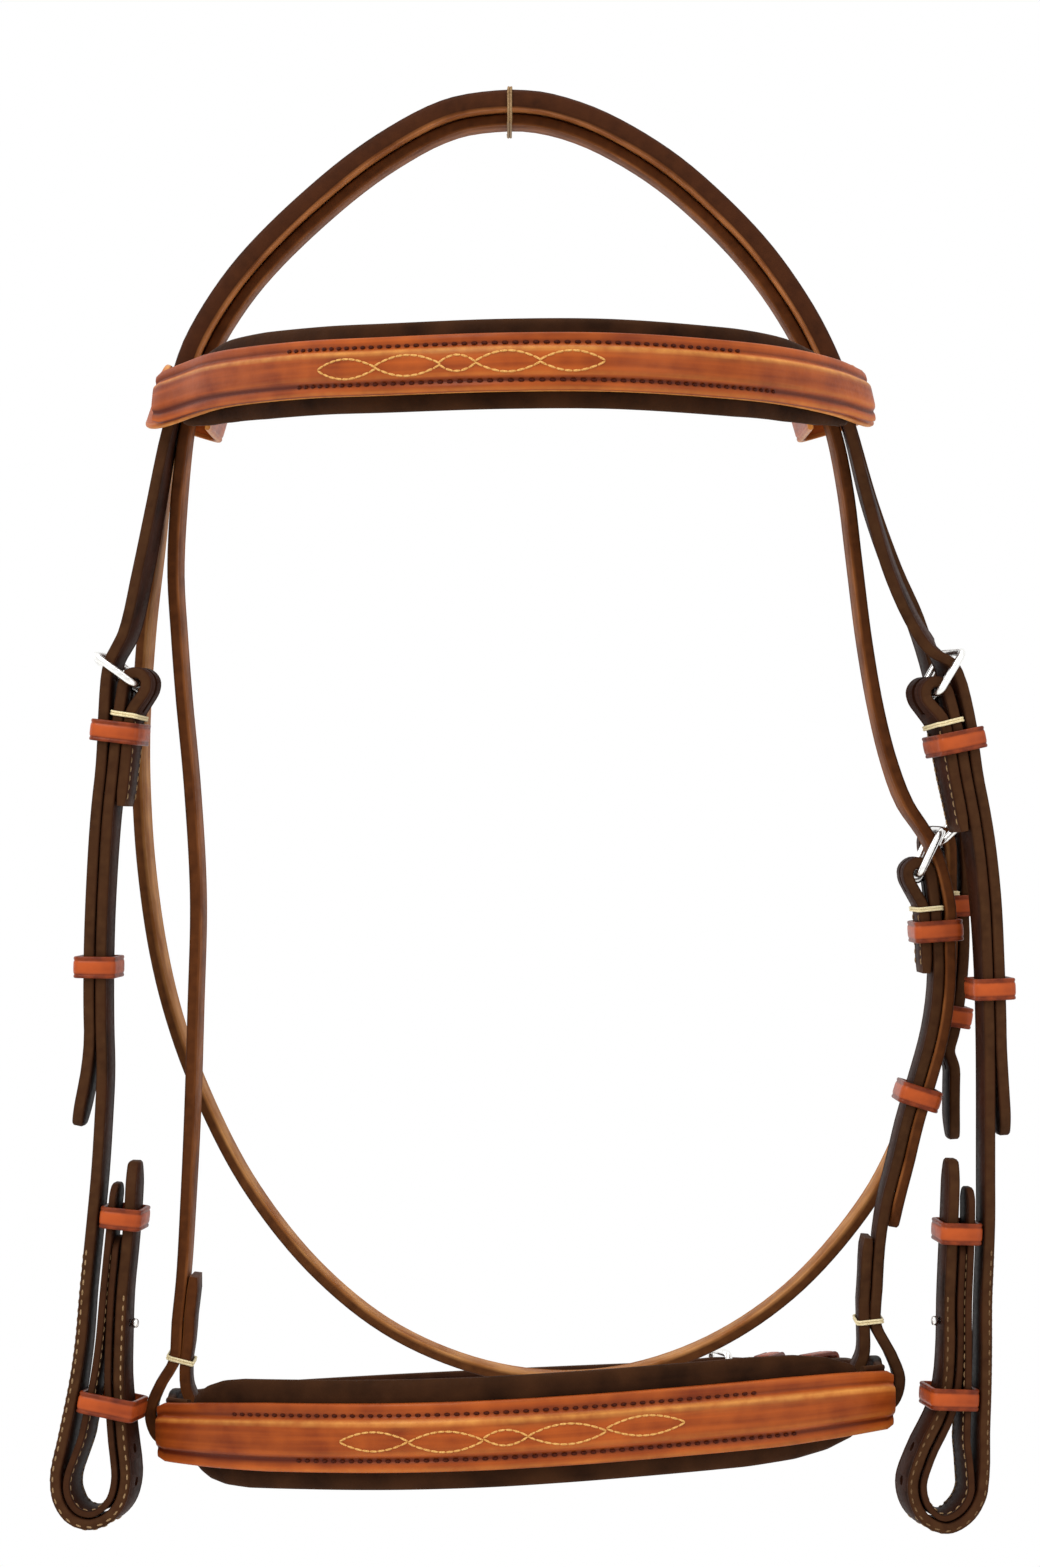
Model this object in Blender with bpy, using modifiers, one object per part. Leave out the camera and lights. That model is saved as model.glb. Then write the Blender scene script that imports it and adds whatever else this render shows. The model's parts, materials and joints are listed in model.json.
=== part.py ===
"""Snaffle bridle with a cavesson noseband, buckled up and hanging from its poll.

Metres, +Z up. +X is the viewer's right, the near side, and +Y runs away from the viewer.
The origin is the underside of the poll, where the bridle rests.
Routes are read off a level front view in pixels, and each strap keeps to a lane of depth.
"""

import math

import bmesh
import bpy
import numpy as np
from mathutils import Matrix, Vector

# View that the routes were read from
pixel = 0.000325
view_distance = 1.430
middle_px = 520
level_row_px = 783
rest_row_px = 128

# Lanes of depth
cheek_lane = -0.009
hanger_lane = 0.009
throat_lane = 0.030
nose_lane = -0.005

# Straps
crown_width = 0.034
crown_thickness = 0.0062
strap_width = 0.016
billet_thickness = 0.0036
cheek_thickness = 0.0036
hanger_thickness = 0.0036
throat_thickness = 0.0036
lining_thickness = 0.0022
rear_width = 0.013
rear_thickness = 0.0030
edge_round = 0.0006
billet_point = 0.009
fit_gap = 0.0003

# Browband
browband_height = 0.0174
browband_thickness = 0.0022
browband_bulge = 0.096
browband_lane = -0.024
browband_face_height = 0.0172
browband_face_thickness = 0.0032
browband_pad_height = 0.027
browband_pad_thickness = 0.0050
browband_loop_play = 0.0035
browband_seat = 0.0005
browband_tab = 0.012
browband_face_inset = 0.004
browband_pad_inset = 0.010
browband_pad_tips = (0.045, 0.065)

# Noseband
nose_bulge = 0.050
nose_face_height = 0.0217
nose_face_thickness = 0.0036
nose_pad_height = 0.0348
nose_pad_rise = 0.0004
nose_pad_tips = (0.022, 0.044)
nose_face_tip = 0.045
nose_pad_thickness = 0.0060
nose_overlap = 0.012
pad_round = 0.0018
face_round = 0.0008
rear_reach = 0.071
rear_fold = 0.022
rear_billet = 0.042
rear_keeper = 0.0075
rear_droop = 0.0056
nose_tuck = 0.002
band_gap = 0.0006

# Buckles
wire_thickness = 0.0024
tongue_thickness = 0.0018
buckle_reach = 0.0155
buckle_side_play = 0.0011
tongue_play = 0.0006
slot_play = 0.0004
eye_gap = 0.0007
fold_length = 0.030
near_fold_length = 0.036
hanger_fold = 0.028
lay_start = 0.0005
tip_flare = 0.008
off_tip_flare = 0.020

# Keepers
keeper_width = 0.0070
keeper_thickness = 0.0015
keeper_play = 0.0004
loose_play = 0.0016
keeper_corner = 0.0016

# Hanger
crown_start = 0.012

# Bit ends
bit_gap = 0.0007
stud_neck = 0.0016
stud_length = 0.0044
stud_head = 0.0032
stud_head_height = 0.0022

# Holes and threads
hole_size = 0.0032
hole_pitch = 0.016
thread_thickness = 0.0008
overrun = 0.004

# Fineness of the curves
fine_count = 24
lining_count = 54
turn_step = math.radians(15)
length_step = 0.017

# Routes as x, row and turn in degrees, where a turn leans the rear edge toward the middle
crown_px = [
    (178, 402), (183, 386), (198, 344), (244, 273), (325, 193), (388, 146), (449, 115), (501, 106.5),
    (524, 106.5), (548, 109.5), (598, 126), (663, 163.5), (716, 208), (763, 258), (800, 311), (820, 348),
    (836, 386), (841, 402),
]
billet_off_px = [(177, 405, 0), (169, 438, 4), (155, 512, 8), (143, 573, 10), (129.5, 632, 10)]
billet_near_px = [(842, 405, 0), (852, 438, 4), (867, 492, 8), (890.5, 570, 12), (914, 622, 14),
    (930, 646, 14)]
throat_off_px = [
    (177, 405, 0), (170, 438, 0), (158, 540, 3), (147, 630, 6), (141, 732, 6), (142, 800, 6),
    (147, 870, 6), (158.5, 950, 6), (175, 1018, 5), (200, 1087, 4), (249, 1183, 3), (318, 1270, 2),
    (399, 1333, 1), (500, 1371, 0), (600, 1376, 0), (700, 1348, -1), (790, 1290, -2), (868, 1200, -3),
    (906, 1127, -4), (926, 1076, -4), (939, 1030, -4), (946, 985, -4), (949, 940, -4), (948, 890, -4),
]
throat_near_px = [
    (842, 405, 0), (852, 438, 0), (870, 505, -4), (893, 570, -6), (915, 620, -6), (933, 680, -6),
    (942, 740, -5),
]
slip_off_px = [
    (192, 410, 0), (186, 438, 2), (179, 505, 4), (176, 573, 4), (179.5, 635, 4), (184, 695, 4),
    (192.5, 787, 4), (198.5, 897, 4), (196, 1007, 4), (192.5, 1117, 4), (188.5, 1200, 3), (184, 1274, 2),
    (179, 1320, 1), (175.5, 1358, 0),
]
slip_near_px = [
    (825, 408, 0), (835, 438, -2), (845.5, 492, -3), (854, 561, -3), (864, 641, -3), (876, 710, -3),
    (889, 762, -4), (904, 802, -5),
]
nose_cheek_px = [
    (932, 905, -3), (935, 945, -3), (935, 985, -3), (929, 1030, -3), (917, 1075, -3), (904, 1118, -3),
    (894, 1160, -3), (884, 1200, -2), (878, 1240, -1), (875.5, 1285, 0), (874.5, 1322, 0),
]
cheek_off_px = [
    (124, 712, 8), (121, 736, 8), (118, 764, 7), (112, 818, 6), (107, 897, 5), (105, 960, 5), (105, 1024, 5),
    (106, 1071, 5), (104, 1117, 5), (100.5, 1172, 5), (96.5, 1215, 5), (93, 1250, 5), (89, 1291, 5),
    (85, 1340, 6), (80, 1377, 7), (69.5, 1434, 10), (62, 1472, 11), (64.5, 1496, 11), (75.5, 1513, 11),
    (92.5, 1520, 11), (110, 1516, 11), (124.5, 1502, 11), (131.5, 1478, 11), (127.5, 1430, 10),
    (123.5, 1380, 7), (124, 1340, 6),
    (126, 1291, 5), (130, 1250, 5), (133, 1215, 5), (134.5, 1190, 5), (135.5, 1160, 5),
]
cheek_near_px = [
    (948, 720, -14), (953, 740, -13), (958.5, 770, -12), (971, 832, -9), (979, 897, -7), (983, 964, -5),
    (985, 1030, -5),
    (985.5, 1092, -5), (985.5, 1140, -5), (985.5, 1177, -5), (985.5, 1217, -5), (984, 1262, -5),
    (982.5, 1300, -5), (982, 1347, -6), (981, 1390, -7), (979, 1430, -9), (978, 1466, -11),
    (974.5, 1493, -11), (962.5, 1513, -11), (944, 1523.5, -11), (926, 1520, -11), (912, 1506, -11),
    (906.5, 1482, -11), (917, 1448, -9),
    (934.5, 1412, -8), (942, 1384, -7), (945, 1347, -6), (945.5, 1300, -5), (947, 1262, -5),
    (949, 1217, -5), (950, 1190, -5), (951, 1158, -5),
]
throat_tip_px = [(951, 1067, -4), (951, 1090, -4), (951, 1115, -4), (952.5, 1138, -4)]
ring_off_px = (174, 1409)
ring_near_px = (876, 1376)
ring_half_width = 0.0072
ring_half_height = 0.0102
ring_seat = 0.0010
bar_off_px = (140, 684)
end_off_px = (102, 656)
bar_near_px = (929, 693)
end_near_px = (954, 653)
bar_hanger_px = (916, 873)
end_hanger_px = (938, 827)
bar_throat_px = (936, 842)
end_throat_px = (968, 812)

# Bands as x, row of the middle and share of the bulge
browband_px_and_share = [
    (158, 402, 0.02), (190, 391, 0.16), (222, 380, 0.32), (304, 370, 0.64), (379, 366.5, 0.85),
    (503, 362, 1.0), (610, 362, 0.97), (720, 369, 0.76), (781, 376, 0.53), (832, 388, 0.26),
    (863, 400, 0.02),
]
nose_px_and_share = [
    (158, 1431, 0.0), (180, 1433, 0.12), (254, 1436.5, 0.50), (379, 1438, 0.88), (480, 1435.5, 1.0),
    (560, 1431, 0.98), (634, 1425.5, 0.88), (768, 1413.5, 0.60), (850, 1404, 0.24), (893, 1399, 0.0),
]
window_share = 0.60
whip_share = 0.10
flare_share = 0.20
bit_bottom_share = 0.52
bit_close_share = 0.46
bit_ease_share = 0.08
rear_off_shares = [(-0.975, 0.42), (-0.83, 0.76), (-0.46, 0.955), (-0.02, 1.0), (0.28, 0.97), (0.43, 0.93)]
rear_near_shares = [(0.66, 0.765), (0.75, 0.70), (0.84, 0.615), (0.915, 0.50), (0.965, 0.37)]
rear_bar_shares = (0.60, 0.755)
rear_end_shares = (0.553, 0.959)
loop_shares = (
    (1.0, -0.6), (1.0, 0.0), (1.0, 0.8), (0.8, 1.0), (-0.82, 1.0), (-1.0, 0.84), (-1.0, 0.0), (-1.0, -0.7),
)
tip_shares = ((1.0, 1.0), (0.55, 0.93), (0.25, 0.74), (0.0, 0.40))
pad_shares = ((1.0, 1.0), (0.6, 0.96), (0.3, 0.86), (0.0, 0.64))
face_shares = ((1.0, 1.0), (0.5, 0.95), (0.0, 0.86))


def place(x_px, row_px, depth):
    """Point of the front view at a depth behind the plane of the poll."""
    scale = pixel * (view_distance + depth) / view_distance
    rise = (level_row_px - row_px) * scale - (level_row_px - rest_row_px) * pixel
    return np.array([(x_px - middle_px) * scale, depth, rise])


def unit(vector):
    return vector / np.linalg.norm(vector)


def smooth(rows):
    """Curve through rows of a point and its width direction, with how far along each point lies."""
    rows = np.array(rows, float)
    ends = np.vstack([2 * rows[0] - rows[1], rows, 2 * rows[-1] - rows[-2]])
    spans = np.linalg.norm(np.diff(ends[:, :3], axis=0), axis=1) ** 0.5
    knots = np.concatenate([[0.0], np.cumsum(spans)])
    out = []
    for i in range(1, len(ends) - 2):
        p0, p1, p2, p3 = ends[i - 1:i + 3]
        t0, t1, t2, t3 = knots[i - 1:i + 3]
        for t in np.linspace(t1, t2, fine_count, endpoint=False):
            a1 = (p0 * (t1 - t) + p1 * (t - t0)) / (t1 - t0)
            a2 = (p1 * (t2 - t) + p2 * (t - t1)) / (t2 - t1)
            a3 = (p2 * (t3 - t) + p3 * (t - t2)) / (t3 - t2)
            b1 = (a1 * (t2 - t) + a2 * (t - t0)) / (t2 - t0)
            b2 = (a2 * (t3 - t) + a3 * (t - t1)) / (t3 - t1)
            out.append((b1 * (t2 - t) + b2 * (t - t1)) / (t2 - t1))
    out.append(rows[-1])
    out = np.array(out)
    steps = np.linalg.norm(np.diff(out[:, :3], axis=0), axis=1)
    return out, np.concatenate([[0.0], np.cumsum(steps)])


def length_of(path):
    return path[1][-1]


def station(path, s):
    """Point, run, width and thickness directions of a path at a length along it."""
    rows, lengths = path
    small = lengths[-1] / len(lengths) / 2
    low = np.array([np.interp(max(s - small, 0.0), lengths, rows[:, k]) for k in range(3)])
    high = np.array([np.interp(min(s + small, lengths[-1]), lengths, rows[:, k]) for k in range(3)])
    here = np.array([np.interp(s, lengths, rows[:, k]) for k in range(6)])
    run = unit(high - low)
    across = unit(here[3:] - run * here[3:].dot(run))
    return here[:3], run, across, np.cross(across, run)


def at_row(path, row_px, depth, start=0.0):
    """Length along a path, past a start, where it first reaches a row of the front view."""
    height = place(middle_px, row_px, depth)[2]
    rows, lengths = path
    above = rows[:, 2] - height
    for i in range(1, len(lengths)):
        if lengths[i] > start and above[i - 1] * above[i] <= 0 and above[i - 1] != above[i]:
            share = above[i - 1] / (above[i - 1] - above[i])
            return lengths[i - 1] + share * (lengths[i] - lengths[i - 1])
    raise ValueError(f"no such row {row_px}")


def strap_rows(table, depths):
    """Rows of a strap route, whose depths are given at its ends or one for each point."""
    if len(depths) == 2:
        depths = np.linspace(depths[0], depths[1], len(table))
    rows = []
    for (x_px, row_px, turn), depth in zip(table, depths):
        lean = math.radians(turn)
        rows.append(np.concatenate([place(x_px, row_px, depth), [math.sin(lean), math.cos(lean), 0.0]]))
    return rows


def beside(path, s0, s1, count, offset):
    """Rows that follow a path at an offset toward its thickness direction."""
    rows = []
    for s in np.linspace(s0, s1, count):
        point, run, across, up = station(path, s)
        share = (s - s0) / (s1 - s0)
        shift = offset(share) if callable(offset) else offset
        rows.append(np.concatenate([point + up * shift, across]))
    return rows


def stations(path, s0, s1, sag):
    """Lengths along a path, close enough that no straight run strays from it by more than a sag."""
    fine = np.linspace(s0, s1, max(int((s1 - s0) / length_step * fine_count), fine_count))
    chosen, turned = [s0], 0.0
    runs = [station(path, s)[1] for s in fine]
    widths = [station(path, s)[2] for s in fine]
    for i in range(1, len(fine) - 1):
        turned += math.acos(min(1.0, runs[i].dot(runs[i - 1])))
        turned += math.acos(min(1.0, widths[i].dot(widths[i - 1]))) / 2
        gone = fine[i] - chosen[-1]
        if turned > turn_step or gone > length_step or turned * gone > 8 * sag:
            if s1 - fine[i] > length_step / 16:
                chosen.append(fine[i])
                turned = 0.0
    return chosen + [s1]


def material(name, colour, roughness, metallic):
    made = bpy.data.materials.new(name)
    made.use_nodes = True
    shader = made.node_tree.nodes["Principled BSDF"]
    shader.inputs["Base Color"].default_value = (*colour, 1.0)
    shader.inputs["Roughness"].default_value = roughness
    shader.inputs["Metallic"].default_value = metallic
    made.diffuse_color = (*colour, 1.0)
    return made


def finished(obj, colour):
    obj.data.materials.append(material(obj.name + "_look", *colour))
    parts.objects.link(obj)
    return obj


def mapped_grid(name, along, across, spot, closed, origin):
    """Open grid whose corners a function of the two counts places."""
    bm = bmesh.new()
    bmesh.ops.create_grid(bm, x_segments=along, y_segments=across, size=1.0)
    for vert in bm.verts:
        i = round((vert.co.x + 1) / 2 * along)
        j = round((vert.co.y + 1) / 2 * across)
        vert.co = Vector(spot(i, j)) - Vector(origin)
    if closed:
        bmesh.ops.remove_doubles(bm, verts=bm.verts, dist=fit_gap / 8)
    mesh = bpy.data.meshes.new(name)
    bm.to_mesh(mesh)
    bm.free()
    obj = bpy.data.objects.new(name, mesh)
    obj.location = Vector(origin)
    return obj


def thickened(obj, thickness, rounding):
    """Sheet given its thickness about its middle, with rounded edges where a rounding is given."""
    solid = obj.modifiers.new("thickness", "SOLIDIFY")
    solid.thickness = thickness
    solid.offset = 0.0
    solid.use_even_offset = True
    if rounding:
        edge = obj.modifiers.new("edges", "BEVEL")
        edge.width = rounding
        edge.segments = 1
        edge.limit_method = "ANGLE"
        edge.angle_limit = math.radians(40)
    obj.data.shade_smooth()
    obj.data.set_sharp_from_angle(angle=math.radians(35))
    return obj


def ribbon(
    name, path, s0, s1, width, thickness, colour, tips=(0.0, 0.0), rounding=None, shares=tip_shares
):
    """Flat strap along a path, narrowed over a length at either end."""
    marks = stations(path, s0, s1, fit_gap / 4)
    for end, tip, sign in ((s0, tips[0], 1), (s1, tips[1], -1)):
        if tip:
            marks = [s for s in marks if sign * (s - end) > tip * 1.2]
            marks += [end + sign * tip * far for far, _ in shares]
    marks = sorted(marks)
    fars = [far for far, _ in reversed(shares)]
    widths = [share for _, share in reversed(shares)]

    def spot(i, j):
        point, _, across, _ = station(path, marks[i])
        half = width / 2
        if tips[0]:
            half *= np.interp((marks[i] - s0) / tips[0], fars, widths)
        if tips[1]:
            half *= np.interp((s1 - marks[i]) / tips[1], fars, widths)
        return point + across * half * (2 * j - 1)

    obj = mapped_grid(name, len(marks) - 1, 1, spot, False, (0.0, 0.0, 0.0))
    thickened(obj, thickness, edge_round if rounding is None else rounding)
    return finished(obj, colour)


def rounded_loop(centre, first, second, half_first, half_second, corner):
    """Points of a rectangle with rounded corners, in a plane given by two directions."""
    points = []
    for quarter, (a, b) in enumerate(((1, 1), (-1, 1), (-1, -1), (1, -1))):
        for step in range(3):
            angle = math.radians(90 * quarter + 45 * step)
            x = a * (half_first - corner) + corner * math.cos(angle)
            y = b * (half_second - corner) + corner * math.sin(angle)
            points.append(centre + first * x + second * y)
    return points


def spread(members, point, run, up, across, half):
    """Least and greatest offsets of a stack, in thickness and in width, within half a height of a point."""
    deep, wide = [], []
    for path, thickness, width, s0, s1 in members:
        rows, lengths = path
        for row, s in zip(rows, lengths):
            off = row[:3] - point
            if s0 <= s <= s1 and abs(off.dot(run)) <= half:
                twist = abs(unit(row[3:]).dot(up)) * width / 2
                deep += [off.dot(up) - thickness / 2 - twist, off.dot(up) + thickness / 2 + twist]
                wide += [off.dot(across) - width / 2, off.dot(across) + width / 2]
    return min(deep), max(deep), min(wide), max(wide)


def keeper(name, path, s, members, play, colour):
    """Loop of leather round a stack of straps, square to a path."""
    point, run, across, up = station(path, s)
    low, high, left, right = spread(members, point, run, up, across, keeper_width / 2 + fit_gap)
    centre = point + up * (low + high) / 2 + across * (left + right) / 2
    half_across = (right - left + keeper_thickness) / 2 + keeper_play
    half_up = (high - low + keeper_thickness) / 2 + play
    loop = rounded_loop(centre, across, up, half_across, half_up, keeper_corner)
    around = len(loop)

    def spot(i, j):
        return loop[i % around] + run * keeper_width * (j - 0.5)

    obj = mapped_grid(name, around, 1, spot, True, centre)
    thickened(obj, keeper_thickness, 0.0)
    obj["joint_axis"] = list(run)
    return finished(obj, colour)


def wire(name, points, thickness, cyclic, colour, resolution=2, origin=(0.0, 0.0, 0.0)):
    """Round wire through points, closed into a loop or with flat ends."""
    curve = bpy.data.curves.new(name, "CURVE")
    curve.dimensions = "3D"
    curve.bevel_depth = thickness / 2
    curve.bevel_resolution = resolution
    curve.use_fill_caps = not cyclic
    spline = curve.splines.new("POLY")
    spline.points.add(len(points) - 1)
    for item, point in zip(spline.points, points):
        item.co = (*(Vector(point) - Vector(origin)), 1.0)
    spline.use_cyclic_u = cyclic
    spline.use_smooth = True
    obj = bpy.data.objects.new(name, curve)
    obj.location = Vector(origin)
    return finished(obj, colour)


def cut(target, name, shapes, solver="EXACT"):
    """Openings cut into a piece by one cutter of several separate shapes."""
    bm = bmesh.new()
    for kind, matrix, sizes in shapes:
        if kind == "box":
            made = bmesh.ops.create_cube(bm, size=1.0)
            scale = Matrix.Diagonal((*sizes, 1.0))
        else:
            made = bmesh.ops.create_cone(
                bm, cap_ends=True, segments=10, radius1=0.5, radius2=0.5, depth=1.0
            )
            scale = Matrix.Diagonal((sizes[0], sizes[0], sizes[1], 1.0))
        bmesh.ops.transform(bm, matrix=matrix @ scale, verts=made["verts"])
    bmesh.ops.recalc_face_normals(bm, faces=bm.faces)
    mesh = bpy.data.meshes.new(name)
    bm.to_mesh(mesh)
    bm.free()
    cutter = bpy.data.objects.new(name, mesh)
    cutter.hide_render = True
    cutter.display_type = "WIRE"
    cutters.objects.link(cutter)
    hole = target.modifiers.new(name, "BOOLEAN")
    hole.operation = "DIFFERENCE"
    hole.solver = solver
    hole.object = cutter


def pose(centre, first, second, third):
    """Matrix that puts a shape's own axes along three directions."""
    matrix = Matrix.Identity(4)
    for k, axis in enumerate((first, second, third, centre)):
        for row in range(3):
            matrix[row][k] = float(axis[row])
    return matrix


def punched(path, lengths, thickness):
    """Round holes through a strap at lengths along it."""
    shapes = []
    for s in lengths:
        point, run, across, up = station(path, s)
        shapes.append(("rod", pose(point, run, across, up), (hole_size, thickness + overrun)))
    return shapes


def buckle(name, bar, end, across, side, width, fold):
    """Wire frame from its bar to its end, with a tongue that hooks the bar and lies on the end."""
    reach = unit(end - bar)
    reach = unit(reach - across * reach.dot(across))
    out = np.cross(across, reach) * side
    middle = bar + reach * buckle_reach / 2
    half = width / 2 + buckle_side_play + wire_thickness / 2
    corner = wire_thickness
    frame = rounded_loop(middle, reach, across, buckle_reach / 2, half, corner)
    wire(name + "_frame", frame, wire_thickness, True, STEEL)
    clear = (wire_thickness + tongue_thickness) / 2 + fit_gap
    points = []
    for angle in (250, 215, 180, 145, 115):
        turn = math.radians(angle)
        points.append(bar + reach * clear * math.cos(turn) + out * clear * math.sin(turn))
    points.append(bar + out * clear)
    tip = buckle_reach + wire_thickness / 2
    points.append(bar + out * clear + reach * tip)
    tongue = wire(name + "_tongue", points, tongue_thickness, False, STEEL, origin=bar)
    tongue["joint_axis"] = list(across * side)
    line = bar + out * clear + reach * buckle_reach / 2
    hole = ("rod", pose(line, across, out, reach), (tongue_thickness + 2 * tongue_play, buckle_reach))
    deep = wire_thickness + 2 * fold + overrun
    room = ("box", pose(bar, reach, out, across), (deep, deep, tongue_thickness + 2 * slot_play))
    return {"bar": bar, "reach": reach, "out": out, "across": across, "hole": hole, "slot": room}


def eye(made, thickness, leaving, returning):
    """Rows of a strap that folds round a buckle's bar, between the rows that it leaves and joins."""
    around = wire_thickness / 2 + eye_gap + thickness / 2
    top = unit(made["bar"] - (leaving[:3] + returning[:3]) / 2)
    top = unit(top - made["across"] * made["across"].dot(top))
    level = np.cross(made["across"], top)
    level = level * np.sign(level.dot(leaving[:3] - returning[:3]))
    rows = []
    for angle in (-8, 41, 90, 139, 188):
        turn = math.radians(angle)
        point = made["bar"] + around * (level * math.cos(turn) + top * math.sin(turn))
        rows.append(np.concatenate([point, made["across"]]))
    return rows


def folded(turned, rows, offset, length):
    """Run of a strap with the turn at its end, the length at its neck, and the end folded back beside it."""
    run = smooth(turned + rows)
    neck = run[1][len(turned) * fine_count]
    return run, neck, beside(run, neck, neck + length, 5, offset)[::-1]


def window(made, thickness):
    """Point of the buckle's window where the billet goes through."""
    near = wire_thickness / 2 + eye_gap + thickness
    far = buckle_reach - wire_thickness / 2
    return made["bar"] + made["reach"] * (near + (far - near) * window_share)


def thread(name, path, s, members, colour):
    """Turn of waxed thread round a stack of straps, square to a path."""
    point, run, across, up = station(path, s)
    low, high, left, right = spread(members, point, run, up, across, thread_thickness)
    centre = point + up * (low + high) / 2 + across * (left + right) / 2
    wall = fit_gap + thread_thickness / 2
    half_across, half_up = (right - left) / 2 + wall, (high - low) / 2 + wall
    loop = rounded_loop(centre, across, up, half_across, half_up, edge_round)
    return wire(name, loop, thread_thickness, True, colour, resolution=1)


def stud(name, foot, axis, colour):
    """Hook stud turned about its own axis, with a neck and a round head."""
    top = stud_length + stud_head_height
    profile = [
        (0.0, top), (stud_head * 0.6, top), (stud_head, top - stud_head_height * 0.4),
        (stud_head * 0.8, stud_length), (stud_neck, stud_length), (stud_neck, 0.0), (0.0, 0.0),
    ]
    bm = bmesh.new()
    verts = [bm.verts.new((x / 2, 0.0, z)) for x, z in profile]
    for a, b in zip(verts, verts[1:]):
        bm.edges.new((a, b))
    mesh = bpy.data.meshes.new(name)
    bm.to_mesh(mesh)
    bm.free()
    obj = bpy.data.objects.new(name, mesh)
    turn = obj.modifiers.new("turn", "SCREW")
    turn.steps = 10
    turn.render_steps = 10
    turn.use_merge_vertices = True
    turn.merge_threshold = fit_gap / 8
    obj.location = Vector(foot)
    obj.rotation_euler = Vector(axis).to_track_quat("Z", "Y").to_euler()
    return finished(obj, colour)


for old in list(bpy.data.objects):
    bpy.data.objects.remove(old, do_unlink=True)
parts = bpy.data.collections.new("horse_bridle")
cutters = bpy.data.collections.new("horse_bridle_cutters")
for group in (parts, cutters):
    bpy.context.scene.collection.children.link(group)

HAVANA = ((0.060, 0.022, 0.010), 0.45, 0.0)
TAN = ((0.430, 0.115, 0.025), 0.40, 0.0)
REDDISH = ((0.400, 0.085, 0.020), 0.42, 0.0)
LINING = ((0.022, 0.014, 0.010), 0.55, 0.0)
STEEL = ((0.780, 0.760, 0.720), 0.25, 1.0)
CREAM = ((0.750, 0.640, 0.420), 0.80, 0.0)

# Crownpiece over the poll
crown_rows = [np.concatenate([place(x, row, 0.0), [0.0, 1.0, 0.0]]) for x, row in crown_px]
crown = smooth(crown_rows)
ribbon("crownpiece", crown, 0.0, length_of(crown), crown_width, crown_thickness, HAVANA)
under = (crown_thickness + hanger_thickness) / 2 + fit_gap

# Layers of the stacks beside a path
fold_off = (cheek_thickness + cheek_thickness) / 2 + fit_gap
lie_on = (cheek_thickness + billet_thickness) / 2 + fit_gap
hang_on = (hanger_thickness + hanger_thickness) / 2 + fit_gap
throat_on = (throat_thickness + billet_thickness) / 2 + fit_gap


def eased(share, flare=tip_flare):
    """Extra room beside a stack: for the whip stitch at its top and for the hanging tip at its end."""
    room = (thread_thickness + fit_gap) * max(0.0, 1 - share / whip_share)
    return room + flare * max(0.0, share - 1 + flare_share)


def whip_only(share):
    """One where the whip stitch needs room and zero where the strap lies close."""
    return 1.0 if share < 1 - flare_share else 0.0


def split_depth(lane):
    """Middle of a strip of the crownpiece that is cut down to a strap on the side of a lane."""
    half = (crown_width - strap_width) / 2
    return -half if lane < 0 else half


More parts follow.
